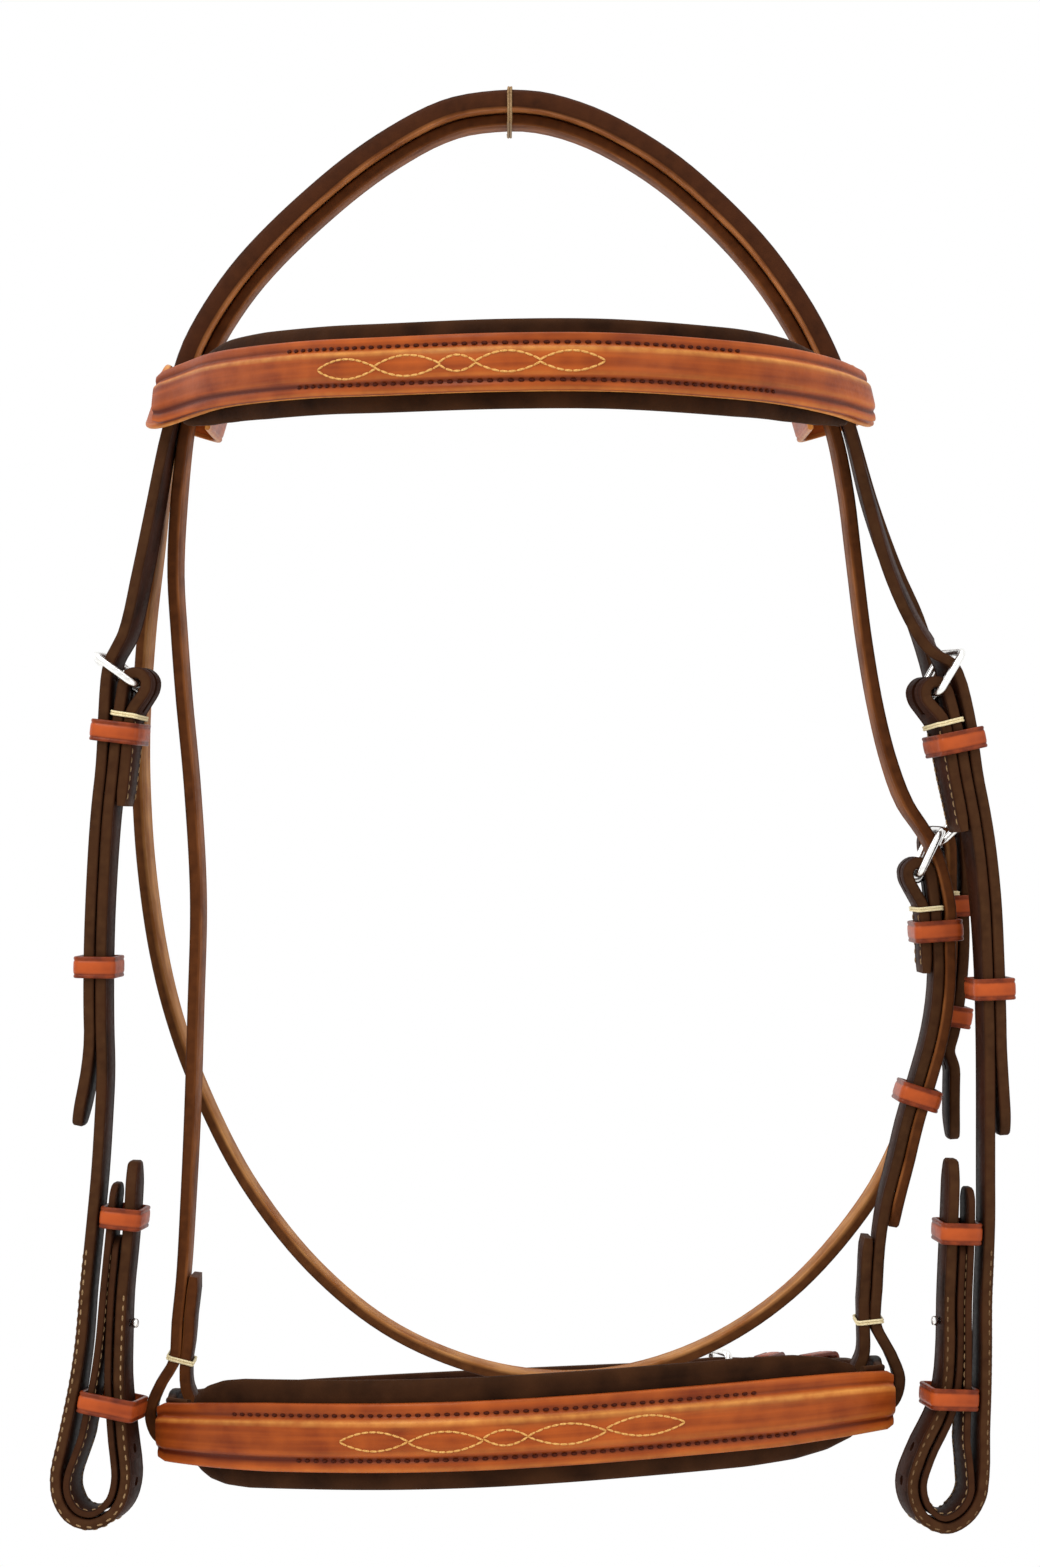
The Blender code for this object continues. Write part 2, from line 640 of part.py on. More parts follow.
def cheek(side_name, table, billet_table, bar_px, end_px, side):
    """Cheek assembly of one side: billet of the crownpiece, buckle, cheekpiece, lining, keepers and stud."""
    depth = cheek_lane
    bar, end = place(*bar_px, depth), place(*end_px, depth)
    lean = math.radians(table[0][2])
    across = np.array([math.sin(lean), math.cos(lean), 0.0])
    fold, flare = (fold_length, off_tip_flare) if side > 0 else (near_fold_length, tip_flare)
    made = buckle(f"cheek_buckle_{side_name}", bar, end, across, -side, strap_width, cheek_thickness)
    rows = strap_rows(table, (depth, depth))
    leaving = beside(smooth(rows), 0.0, fold, 2, -fold_off * side)[0]
    turned = eye(made, cheek_thickness, leaving, rows[0])
    main, neck, back = folded(turned, rows, -fold_off * side, fold)
    whole = smooth(back + turned + rows)
    piece = ribbon(
        f"cheekpiece_{side_name}", whole, 0.0, length_of(whole), strap_width, cheek_thickness, HAVANA,
        (0.0, billet_point),
    )
    cut(piece, f"cheekpiece_{side_name}_slot", [made["slot"]], "MANIFOLD")

    # Billet of the crownpiece, through the buckle and down the outer face
    tip_row = 1126 if side > 0 else 1134
    tip_s = at_row(main, tip_row, depth, neck)
    lay = beside(main, neck + lay_start, tip_s, 15, lambda share: side * (lie_on + eased(share, flare)))
    half = split_depth(cheek_lane)
    top = strap_rows(billet_table, (half, depth))
    through = np.concatenate([window(made, cheek_thickness), across])
    billet = smooth(top + [through] + lay)
    strip = ribbon(
        f"cheek_billet_{side_name}", billet, 0.0, length_of(billet), strap_width, billet_thickness, HAVANA,
        (0.0, billet_point),
    )
    ends = length_of(billet)
    holes = [ends - billet_point - hole_pitch * k for k in range(1, 5)]
    cut(strip, f"cheek_billet_{side_name}_holes", [made["hole"]] + punched(billet, holes, billet_thickness))

    # Keepers of the buckle
    stack = [
        (whole, cheek_thickness, strap_width, 0.0, length_of(whole)),
        (billet, billet_thickness, strap_width, 0.0, ends),
    ]
    fixed = at_row(main, 732 if side > 0 else 742, depth, neck)
    keeper(f"cheek_keeper_fixed_{side_name}", main, fixed, stack, keeper_play, REDDISH)
    thread(f"cheek_whip_{side_name}", main, neck + thread_thickness, stack[:1], CREAM)
    slide = at_row(main, 966 if side > 0 else 988, depth, neck)
    keeper(f"cheek_keeper_sliding_{side_name}", main, slide, stack, loose_play, REDDISH)

    # Lining of the bit loop, with the two keepers and the stud that it carries
    first = at_row(main, 1180 if side > 0 else 1186, depth, neck)
    bottom = first + (length_of(main) - first) * bit_bottom_share
    last = at_row(main, 1236, depth, bottom)
    inner = (cheek_thickness + lining_thickness) / 2 + bit_gap
    room = keeper_thickness + 2 * keeper_play

    def inward(share):
        return -side * (inner + room * min(1.0, max(0.0, (bit_close_share - share) / bit_ease_share)))

    lining = smooth(beside(main, first, last, lining_count, inward))
    ribbon(
        f"bit_lining_{side_name}", lining, 0.0, length_of(lining), strap_width, lining_thickness, HAVANA,
        (billet_point / 2, billet_point / 2), rounding=0.0,
    )
    limb = [
        (lining, lining_thickness, strap_width, 0.0, length_of(lining)),
        (main, cheek_thickness, strap_width, bottom, length_of(main)),
    ]
    row_px = 1322 if side > 0 else 1320
    limb_s = at_row(main, row_px, depth, bottom)
    point, run, wide, up = station(main, limb_s)
    foot = point - up * side * (cheek_thickness / 2 + bit_gap / 4)
    stud(f"hook_stud_{side_name}", foot, side * up, STEEL)
    punch = ("rod", pose(point, run, wide, up), (stud_neck + 2 * tongue_play, cheek_thickness + overrun))
    cut(piece, f"cheekpiece_{side_name}_stud_hole", [punch], "MANIFOLD")
    for row_px, label in ((1215 if side > 0 else 1231, "upper"), (1400 if side > 0 else 1396, "lower")):
        spot = at_row(lining, row_px, depth)
        keeper(f"bit_keeper_{label}_{side_name}", lining, spot, limb, 2 * keeper_play, REDDISH)


for settings in (
    ("off", cheek_off_px, billet_off_px, bar_off_px, end_off_px, 1),
    ("near", cheek_near_px, billet_near_px, bar_near_px, end_near_px, -1),
):
    cheek(*settings)

# Throatlatch, off side of the crownpiece round to its buckle on the near side
strip = split_depth(throat_lane)
off_depths = [strip, strip, throat_lane * 0.55, throat_lane * 0.85]
off_depths += [throat_lane] * (len(throat_off_px) - len(off_depths))
throat_rows = strap_rows(throat_off_px, off_depths)[::-1]
bar, end = place(*bar_throat_px, throat_lane), place(*end_throat_px, throat_lane)
across = throat_rows[0][3:]
made = buckle("throat_buckle", bar, end, across, 1, strap_width, throat_thickness)
fold_on = throat_thickness + fit_gap
leaving = beside(smooth(throat_rows), 0.0, fold_length, 2, fold_on)[0]
turned = eye(made, throat_thickness, leaving, throat_rows[0])
throat, neck, back = folded(turned, throat_rows, fold_on, fold_length)
whole = smooth(back + turned + throat_rows)
piece = ribbon("throatlatch", whole, 0.0, length_of(whole), strap_width, throat_thickness, HAVANA)
cut(piece, "throatlatch_slot", [made["slot"]], "MANIFOLD")

near_depths = [strip, strip, throat_lane * 0.5, throat_lane * 0.68, throat_lane * 0.85]
near_depths += [throat_lane] * (len(throat_near_px) - len(near_depths))
top = strap_rows(throat_near_px, near_depths)
through = np.concatenate([window(made, throat_thickness), across])
lay_s = at_row(throat, 1046, throat_lane, neck)
lay = beside(throat, neck + lay_start, lay_s, 9, lambda share: -(throat_on + eased(share) * whip_only(share)))
hang = strap_rows(throat_tip_px, (throat_lane, throat_lane))
billet = smooth(top + [through] + lay + hang)
ends = length_of(billet)
piece = ribbon(
    "throat_billet", billet, 0.0, ends, strap_width, billet_thickness, HAVANA, (0.0, billet_point)
)
holes = [ends - billet_point - hole_pitch * k for k in range(1, 5)]
cut(piece, "throat_billet_holes", [made["hole"]] + punched(billet, holes, billet_thickness))
stack = [
    (whole, throat_thickness, strap_width, 0.0, length_of(whole) / 3),
    (billet, billet_thickness, strap_width, 0.0, ends),
]
thread("throat_whip", throat, neck + thread_thickness, stack[:1], CREAM)
fixed = at_row(throat, 905, throat_lane, neck)
keeper("throat_keeper_fixed", throat, fixed, stack, keeper_play, REDDISH)
slide = at_row(throat, 1013, throat_lane, neck)
keeper("throat_keeper_sliding", throat, slide, stack, loose_play, REDDISH)


def ring_rows(centre, angles):
    """Rows of a hanger loop round the end of the noseband."""
    rows = []
    for angle in angles:
        turn = math.radians(angle)
        shift = np.array([ring_half_width * math.cos(turn), 0.0, ring_half_height * math.sin(turn)])
        rows.append(np.concatenate([centre + shift, [0.0, 1.0, 0.0]]))
    return rows


# Near noseband cheek, from its buckle down to its hanger loop
ring_near = place(*ring_near_px, hanger_lane)
rows = strap_rows(nose_cheek_px, (hanger_lane, hanger_lane))
bar, end = place(*bar_hanger_px, hanger_lane), place(*end_hanger_px, hanger_lane)
across = rows[0][3:]
made = buckle("hanger_buckle", bar, end, across, 1, strap_width, hanger_thickness)
leaving = beside(smooth(rows), 0.0, rear_fold, 2, hang_on)[0]
turned = eye(made, hanger_thickness, leaving, rows[0])
loop = ring_rows(ring_near, (128, 180, -135, -90, -45, 0, 52))
_, _, bottom = folded(loop, rows[::-1], -hang_on, hanger_fold)
nose_cheek, neck, back = folded(turned, rows + loop[::-1], hang_on, rear_fold)
whole = smooth(back + turned + rows + loop[::-1] + bottom[::-1])
piece = ribbon("noseband_cheek_near", whole, 0.0, length_of(whole), strap_width, hanger_thickness, HAVANA)
cut(piece, "noseband_cheek_near_slot", [made["slot"]])
near_stack = [(whole, hanger_thickness, strap_width, 0.0, length_of(whole))]

# Sliphead, from the off hanger loop under the crownpiece to its billet on the near side
ring_off = place(*ring_off_px, hanger_lane)
off_depths = [0.0, 0.0, hanger_lane * 0.6] + [hanger_lane] * (len(slip_off_px) - 3)
off_rows = strap_rows(slip_off_px, off_depths)[::-1]
near_depths = [0.0, 0.0, hanger_lane * 0.5, hanger_lane * 0.9] + [hanger_lane] * (len(slip_near_px) - 4)
near_rows = strap_rows(slip_near_px, near_depths)
head = beside(crown, crown_start, length_of(crown) - crown_start, 26, under)
loop = ring_rows(ring_off, (52, 0, -45, -90, -135, 180, 128))
off_side, off_neck, bottom = folded(loop, off_rows, hang_on, hanger_fold)
through = np.concatenate([window(made, hanger_thickness), across])
tip_s = at_row(nose_cheek, 1224, hanger_lane, neck)
lay = beside(
    nose_cheek, neck + lay_start, tip_s, 15, lambda share: -(hang_on + eased(share) * whip_only(share))
)
slip = smooth(bottom + loop + off_rows + head + near_rows + [through] + lay)
ends = length_of(slip)
piece = ribbon("sliphead", slip, 0.0, ends, strap_width, hanger_thickness, HAVANA, (0.0, billet_point))
holes = [ends - billet_point - hole_pitch * k for k in range(1, 4)]
cut(piece, "sliphead_holes", [made["hole"]] + punched(slip, holes, hanger_thickness))
near_stack.append((slip, hanger_thickness, strap_width, ends / 2, ends))
thread("hanger_whip", nose_cheek, neck + thread_thickness, near_stack[:1], CREAM)
fixed = at_row(nose_cheek, 930, hanger_lane, neck)
keeper("hanger_keeper_fixed", nose_cheek, fixed, near_stack, keeper_play, REDDISH)
slide = at_row(nose_cheek, 1093, hanger_lane, neck)
keeper("hanger_keeper_sliding", nose_cheek, slide, near_stack, loose_play, REDDISH)
low = at_row(nose_cheek, 1318, hanger_lane, neck)
thread("hanger_loop_whip_near", nose_cheek, low, near_stack[:1], CREAM)
off_stack = [(slip, hanger_thickness, strap_width, 0.0, ends / 4)]
thread("hanger_loop_whip_off", off_side, off_neck + thread_thickness, off_stack, CREAM)
poll = [
    (crown, crown_thickness, crown_width, 0.0, length_of(crown)),
    (slip, hanger_thickness, strap_width, ends / 4, ends * 3 / 4),
]
thread("poll_tie_thread", crown, length_of(crown) / 2, poll, CREAM)


upright = np.array([0.0, 0.0, 1.0])


def band_rows(table, lane, bulge, first_up, last_up):
    """Rows of a band that bulges toward the viewer, tilted at its ends and upright between."""
    rows = []
    for i, (x_px, row_px, share) in enumerate(table):
        ends = max(0.0, 1 - i / 2), max(0.0, 1 - (len(table) - 1 - i) / 2)
        up = upright * (1 - sum(ends)) + first_up * ends[0] + last_up * ends[1]
        rows.append(np.concatenate([place(x_px, row_px, lane - bulge * share), up]))
    return rows


# Browband, whose ends fold back round the crownpiece and the sliphead
def crown_loop(spot, upward):
    """Rows of an end loop, from the stitched flap round the back to the outer side."""
    point, run, across, up = station(crown, spot)
    rise = run * upward
    stack = crown_thickness + fit_gap + hanger_thickness
    half_up = (stack + browband_thickness) / 2 + browband_loop_play
    middle = point + up * (half_up - (crown_thickness + browband_thickness) / 2 - browband_seat)
    half_across = (crown_width + browband_thickness) / 2 + browband_loop_play
    flap = (1.0, -1 - browband_tab / half_across)
    rows = []
    for a, b in (flap,) + loop_shares:
        rows.append(np.concatenate([middle + up * half_up * a + across * half_across * b, rise]))
    return rows, rise


loop_off, rise_off = crown_loop(at_row(crown, 399, 0.0), 1)
loop_near, rise_near = crown_loop(at_row(crown, 399, 0.0, length_of(crown) / 2), -1)
rows = band_rows(browband_px_and_share, browband_lane, browband_bulge, rise_off, rise_near)
base = smooth(loop_off + rows + loop_near[::-1])
ribbon(
    "browband_base", base, 0.0, length_of(base), browband_height, browband_thickness, TAN, rounding=0.0
)
front = -(browband_thickness + browband_face_thickness) / 2 - band_gap
rear = (browband_thickness + browband_pad_thickness) / 2 + band_gap
start = base[1][len(loop_off) * fine_count]
stop = base[1][(len(loop_off) + len(rows) - 1) * fine_count]
face = smooth(beside(base, start + browband_face_inset, stop - browband_face_inset, 33, front))
ribbon(
    "browband_face", face, 0.0, length_of(face), browband_face_height, browband_face_thickness, TAN,
    rounding=face_round,
)
pad = smooth(beside(base, start + browband_pad_inset, stop - browband_pad_inset, 31, rear))
ribbon(
    "browband_pad", pad, 0.0, length_of(pad), browband_pad_height, browband_pad_thickness, LINING,
    browband_pad_tips, rounding=pad_round, shares=pad_shares,
)

# Noseband front
rows = band_rows(nose_px_and_share, nose_lane, nose_bulge, upright, upright)
nose = smooth(rows)
ribbon(
    "noseband_face", nose, 0.0, length_of(nose), nose_face_height, nose_face_thickness, TAN,
    (nose_face_tip, nose_face_tip), rounding=face_round, shares=face_shares,
)
rear = (nose_face_thickness + nose_pad_thickness) / 2 + band_gap
rows = beside(nose, nose_overlap, length_of(nose) - nose_overlap, 31, rear)
for row in rows:
    row[:3] += row[3:] * nose_pad_rise
pad = smooth(rows)
ribbon(
    "noseband_pad", pad, 0.0, length_of(pad), nose_pad_height, nose_pad_thickness, LINING,
    nose_pad_tips, rounding=pad_round, shares=pad_shares,
)

# Noseband rear straps, seated behind the ends of the face and led through the hanger loops
behind = (nose_face_thickness + rear_thickness) / 2 + band_gap
ring_drop = ring_half_height - (hanger_thickness + rear_width) / 2 - ring_seat
half_span = (ring_near[0] - ring_off[0]) / 2
middle_x = (ring_near[0] + ring_off[0]) / 2


def rear_point(x_share, y_share):
    """Row of the rear straps at shares of the half span and of the reach."""
    level = (ring_off[2] + ring_near[2]) / 2 + (ring_near[2] - ring_off[2]) / 2 * x_share - ring_drop
    level -= rear_droop * y_share
    spot = np.array([middle_x + half_span * x_share, rear_reach * y_share, level])
    return np.concatenate([spot, upright])


def through_ring(centre):
    """Rows of a rear strap where it passes a hanger loop."""
    reach = np.array([0.0, strap_width / 2 + nose_tuck, 0.0])
    seated = centre - upright * ring_drop
    return [np.concatenate([seated - reach, upright]), np.concatenate([seated + reach, upright])]


off_start = beside(nose, nose_tuck, nose_overlap - nose_tuck, 2, behind)[::-1]
near_start = beside(nose, length_of(nose) - nose_overlap + nose_tuck, length_of(nose) - nose_tuck, 2, behind)
for row in off_start:
    row[2] = ring_off[2] - ring_drop
for row in near_start:
    row[2] = ring_near[2] - ring_drop
run_rows = [rear_point(*pair) for pair in rear_near_shares] + through_ring(ring_near)[::-1] + near_start[::-1]
bar = rear_point(*rear_bar_shares)[:3]
end = rear_point(*rear_end_shares)[:3]
made = buckle("rear_buckle", bar, end, upright, -1, rear_width, rear_thickness)
fold_on = rear_thickness + fit_gap
leaving = beside(smooth(run_rows), 0.0, rear_fold, 2, -fold_on)[0]
turned = eye(made, rear_thickness, leaving, run_rows[0])
near_run, neck, back = folded(turned, run_rows, -fold_on, rear_fold)
whole = smooth(back + turned + run_rows)
piece = ribbon(
    "noseband_rear_near", whole, 0.0, length_of(whole), rear_width, rear_thickness, HAVANA, rounding=0.0
)
cut(piece, "noseband_rear_near_slot", [made["slot"]])
through = np.concatenate([window(made, rear_thickness), upright])
lay = beside(near_run, neck + lay_start, neck + rear_billet, 7, lambda share: fold_on + eased(share))
off_run = off_start + through_ring(ring_off) + [rear_point(*pair) for pair in rear_off_shares]
billet = smooth(off_run + [through] + lay)
ends = length_of(billet)
piece = ribbon(
    "noseband_rear_off", billet, 0.0, ends, rear_width, rear_thickness, HAVANA, (0.0, billet_point),
    rounding=0.0,
)
holes = [ends - billet_point - hole_pitch * k for k in range(1, 3)]
cut(piece, "noseband_rear_off_holes", [made["hole"]] + punched(billet, holes, rear_thickness))
stack = [
    (whole, rear_thickness, rear_width, 0.0, rear_fold * 3),
    (billet, rear_thickness, rear_width, ends / 2, ends),
]
thread("rear_whip", near_run, neck + thread_thickness, stack[:1], CREAM)
keeper("rear_keeper_fixed", near_run, neck + rear_keeper, stack, keeper_play, REDDISH)
slide = neck + rear_billet - billet_point - keeper_width
keeper("rear_keeper_sliding", near_run, slide, stack, loose_play, REDDISH)

# Empties on the axes of the two bands, which carry their pieces
band_names = ["browband_base", "browband_face", "browband_pad"]
nose_names = ["noseband_face", "noseband_pad", "noseband_rear_off", "noseband_rear_near", "rear_whip"]
nose_names += ["rear_buckle_frame", "rear_buckle_tongue", "rear_keeper_fixed", "rear_keeper_sliding"]
seat = (ring_off + ring_near) / 2 + np.array([0.0, strap_width / 2, hanger_thickness / 2 - ring_half_height])
for name, point, axis, members in (
    ("browband_slide", (loop_off[2][:3] + loop_near[2][:3]) / 2, upright, band_names),
    ("noseband_swing", seat, unit(ring_off - ring_near), nose_names),
):
    carrier = bpy.data.objects.new(name, None)
    carrier.location = Vector(point)
    carrier.empty_display_size = wire_thickness
    carrier["joint_axis"] = list(axis)
    parts.objects.link(carrier)
    for member in members:
        bpy.data.objects[member].parent = carrier
        bpy.data.objects[member].matrix_parent_inverse = Matrix.Translation(-Vector(point))
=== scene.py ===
"""Looks of a snaffle bridle that hangs buckled up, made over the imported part.

Metres, +Z up, in the frame of the CAD. Straps follow the same routes as the part's solids.
"""

import json
import math

import bmesh
import bpy
import numpy as np
from mathutils import Matrix, Vector


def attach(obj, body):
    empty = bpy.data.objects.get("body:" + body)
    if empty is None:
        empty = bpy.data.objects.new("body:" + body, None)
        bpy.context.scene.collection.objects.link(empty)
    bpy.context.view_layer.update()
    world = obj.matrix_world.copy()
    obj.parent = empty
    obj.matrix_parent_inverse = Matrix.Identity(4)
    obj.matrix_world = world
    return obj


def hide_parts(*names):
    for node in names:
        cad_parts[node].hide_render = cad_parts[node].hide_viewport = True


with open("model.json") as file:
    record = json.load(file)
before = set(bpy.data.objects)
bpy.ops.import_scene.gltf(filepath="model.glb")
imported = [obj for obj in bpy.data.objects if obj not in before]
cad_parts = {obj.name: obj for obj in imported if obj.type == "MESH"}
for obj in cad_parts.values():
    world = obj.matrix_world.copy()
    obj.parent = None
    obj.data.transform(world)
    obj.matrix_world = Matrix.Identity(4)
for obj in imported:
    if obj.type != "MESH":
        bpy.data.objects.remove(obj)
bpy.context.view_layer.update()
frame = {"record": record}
behaviour = frame["record"]["behaviour"]
body_of = {node: body for body, nodes in behaviour["bodies"].items() for node in nodes}

# View that the routes were read from
pixel = 0.000325
view_distance = 1.430
middle_px = 520
level_row_px = 783
rest_row_px = 128

# Lanes of depth
cheek_lane = -0.009
hanger_lane = 0.009
throat_lane = 0.030
nose_lane = -0.005

# Straps
crown_width = 0.034
crown_thickness = 0.0062
strap_width = 0.016
strap_thickness = 0.0036
lining_thickness = 0.0022
rear_width = 0.013
rear_thickness = 0.0030
edge_round = 0.0006
billet_point = 0.009
fit_gap = 0.0003
layer_step = strap_thickness + fit_gap

# Browband
browband_height = 0.0174
browband_thickness = 0.0022
browband_bulge = 0.096
browband_lane = -0.024
browband_face_height = 0.0172
browband_face_thickness = 0.0032
browband_pad_height = 0.027
browband_pad_thickness = 0.0050
browband_loop_play = 0.0035
browband_seat = 0.0005
browband_tab = 0.012
browband_face_inset = 0.004
browband_pad_inset = 0.010
browband_pad_tips = (0.045, 0.065)

# Noseband
nose_bulge = 0.050
nose_face_height = 0.0217
nose_face_thickness = 0.0036
nose_pad_height = 0.0348
nose_pad_rise = 0.0004
nose_pad_tips = (0.022, 0.044)
nose_face_tip = 0.045
nose_pad_thickness = 0.0060
nose_overlap = 0.012
rear_reach = 0.071
rear_fold = 0.022
rear_billet = 0.042
rear_keeper = 0.0075
rear_droop = 0.0056
nose_tuck = 0.002
band_gap = 0.0006

# Buckles
wire_thickness = 0.0024
tongue_thickness = 0.0018
buckle_reach = 0.0155
buckle_side_play = 0.0011
tongue_play = 0.0006
slot_play = 0.0004
eye_gap = 0.0007
fold_length = 0.030
near_fold_length = 0.036
hanger_fold = 0.028
lay_start = 0.0005
tip_flare = 0.008
off_tip_flare = 0.020

# Keepers
keeper_width = 0.0070
keeper_thickness = 0.0015
keeper_play = 0.0004
loose_play = 0.0016
keeper_corner = 0.0016

# Sliphead under the crownpiece
crown_start = 0.012

# Bit loops
bit_gap = 0.0007
stud_neck = 0.0016

# Holes and threads
hole_size = 0.0032
hole_pitch = 0.016
thread_thickness = 0.0008
overrun = 0.004

# Fineness of the curves and of the rings along them
fine_count = 24
lining_count = 54
billet_count = 15
throat_lay_count = 9
rear_lay_count = 7
head_count = 26
face_count = 33
pad_count = 31
ring_reach = 0.0045
face_reach = 0.0030
ring_turn = math.radians(5)
round_count = 28

# Routes as x, row and turn in degrees, where a turn leans the rear edge toward the middle
crown_px = [
    (178, 402), (183, 386), (198, 344), (244, 273), (325, 193), (388, 146), (449, 115), (501, 106.5),
    (524, 106.5), (548, 109.5), (598, 126), (663, 163.5), (716, 208), (763, 258), (800, 311), (820, 348),
    (836, 386), (841, 402),
]
billet_off_px = [(177, 405, 0), (169, 438, 4), (155, 512, 8), (143, 573, 10), (129.5, 632, 10)]
billet_near_px = [
    (842, 405, 0), (852, 438, 4), (867, 492, 8), (890.5, 570, 12), (914, 622, 14), (930, 646, 14),
]
throat_off_px = [
    (177, 405, 0), (170, 438, 0), (158, 540, 3), (147, 630, 6), (141, 732, 6), (142, 800, 6),
    (147, 870, 6), (158.5, 950, 6), (175, 1018, 5), (200, 1087, 4), (249, 1183, 3), (318, 1270, 2),
    (399, 1333, 1), (500, 1371, 0), (600, 1376, 0), (700, 1348, -1), (790, 1290, -2), (868, 1200, -3),
    (906, 1127, -4), (926, 1076, -4), (939, 1030, -4), (946, 985, -4), (949, 940, -4), (948, 890, -4),
]
throat_near_px = [
    (842, 405, 0), (852, 438, 0), (870, 505, -4), (893, 570, -6), (915, 620, -6), (933, 680, -6),
    (942, 740, -5),
]
slip_off_px = [
    (192, 410, 0), (186, 438, 2), (179, 505, 4), (176, 573, 4), (179.5, 635, 4), (184, 695, 4),
    (192.5, 787, 4), (198.5, 897, 4), (196, 1007, 4), (192.5, 1117, 4), (188.5, 1200, 3), (184, 1274, 2),
    (179, 1320, 1), (175.5, 1358, 0),
]
slip_near_px = [
    (825, 408, 0), (835, 438, -2), (845.5, 492, -3), (854, 561, -3), (864, 641, -3), (876, 710, -3),
    (889, 762, -4), (904, 802, -5),
]
nose_cheek_px = [
    (932, 905, -3), (935, 945, -3), (935, 985, -3), (929, 1030, -3), (917, 1075, -3), (904, 1118, -3),
    (894, 1160, -3), (884, 1200, -2), (878, 1240, -1), (875.5, 1285, 0), (874.5, 1322, 0),
]
cheek_off_px = [
    (124, 712, 8), (121, 736, 8), (118, 764, 7), (112, 818, 6), (107, 897, 5), (105, 960, 5), (105, 1024, 5),
    (106, 1071, 5), (104, 1117, 5), (100.5, 1172, 5), (96.5, 1215, 5), (93, 1250, 5), (89, 1291, 5),
    (85, 1340, 6), (80, 1377, 7), (69.5, 1434, 10), (62, 1472, 11), (64.5, 1496, 11), (75.5, 1513, 11),
    (92.5, 1520, 11), (110, 1516, 11), (124.5, 1502, 11), (131.5, 1478, 11), (127.5, 1430, 10),
    (123.5, 1380, 7), (124, 1340, 6),
    (126, 1291, 5), (130, 1250, 5), (133, 1215, 5), (134.5, 1190, 5), (135.5, 1160, 5),
]
cheek_near_px = [
    (948, 720, -14), (953, 740, -13), (958.5, 770, -12), (971, 832, -9), (979, 897, -7), (983, 964, -5),
    (985, 1030, -5),
    (985.5, 1092, -5), (985.5, 1140, -5), (985.5, 1177, -5), (985.5, 1217, -5), (984, 1262, -5),
    (982.5, 1300, -5), (982, 1347, -6), (981, 1390, -7), (979, 1430, -9), (978, 1466, -11),
    (974.5, 1493, -11), (962.5, 1513, -11), (944, 1523.5, -11), (926, 1520, -11), (912, 1506, -11),
    (906.5, 1482, -11), (917, 1448, -9),
    (934.5, 1412, -8), (942, 1384, -7), (945, 1347, -6), (945.5, 1300, -5), (947, 1262, -5),
    (949, 1217, -5), (950, 1190, -5), (951, 1158, -5),
]
throat_tip_px = [(951, 1067, -4), (951, 1090, -4), (951, 1115, -4), (952.5, 1138, -4)]
ring_off_px = (174, 1409)
ring_near_px = (876, 1376)
ring_half_width = 0.0072
ring_half_height = 0.0102
ring_seat = 0.0010
buckle_px = {
    "cheek_buckle_off": ((140, 684), (102, 656)), "cheek_buckle_near": ((929, 693), (954, 653)),
    "hanger_buckle": ((916, 873), (938, 827)), "throat_buckle": ((936, 842), (968, 812)),
}

# Bands as x, row of the middle and share of the bulge
browband_px_and_share = [
    (158, 402, 0.02), (190, 391, 0.16), (222, 380, 0.32), (304, 370, 0.64), (379, 366.5, 0.85),
    (503, 362, 1.0), (610, 362, 0.97), (720, 369, 0.76), (781, 376, 0.53), (832, 388, 0.26),
    (863, 400, 0.02),
]
nose_px_and_share = [
    (158, 1431, 0.0), (180, 1433, 0.12), (254, 1436.5, 0.50), (379, 1438, 0.88), (480, 1435.5, 1.0),
    (560, 1431, 0.98), (634, 1425.5, 0.88), (768, 1413.5, 0.60), (850, 1404, 0.24), (893, 1399, 0.0),
]
window_share = 0.60
whip_share = 0.10
flare_share = 0.20
bit_bottom_share = 0.52
bit_close_share = 0.46
bit_ease_share = 0.08
rear_off_shares = [(-0.975, 0.42), (-0.83, 0.76), (-0.46, 0.955), (-0.02, 1.0), (0.28, 0.97), (0.43, 0.93)]
rear_near_shares = [(0.66, 0.765), (0.75, 0.70), (0.84, 0.615), (0.915, 0.50), (0.965, 0.37)]
rear_bar_shares = (0.60, 0.755)
rear_end_shares = (0.553, 0.959)
loop_shares = (
    (1.0, -0.6), (1.0, 0.0), (1.0, 0.8), (0.8, 1.0), (-0.82, 1.0), (-1.0, 0.84), (-1.0, 0.0), (-1.0, -0.7),
)
pad_shares = ((0.0, 0.64), (0.3, 0.86), (0.6, 0.96), (1.0, 1.0))
face_shares = ((0.0, 0.86), (0.5, 0.95), (1.0, 1.0))

# Sections of straps and keepers as inset from the edge, lift, and wear with painted light: highlight on strap
# rims and creases, shade on keeper rims
CREASE = [(0.0012, 0.0, 0.35), (0.0015, -0.00016, 0.1), (0.0018, -0.00016, 0.0), (0.0021, 0.0, 0.0)]
WIDE = [
    (0.0026, 0.0, 0.3), (0.0029, -0.0002, 0.1), (0.0033, -0.0002, 0.0), (0.0037, 0.0, 0.0), (0.009, 0.0, 0.0),
]
PLAIN = [(0.0014, 0.0, 0.1), (0.0040, 0.00005, 0.0)]
KEEPER = [
    (0.0008, 0.0, 0.9), (0.0011, -0.00016, 1.0), (0.0014, -0.00016, 0.8), (0.0017, 0.0, 0.2),
    (0.0022, 0.00008, 0.0), (0.0032, 0.0001, 0.0),
]
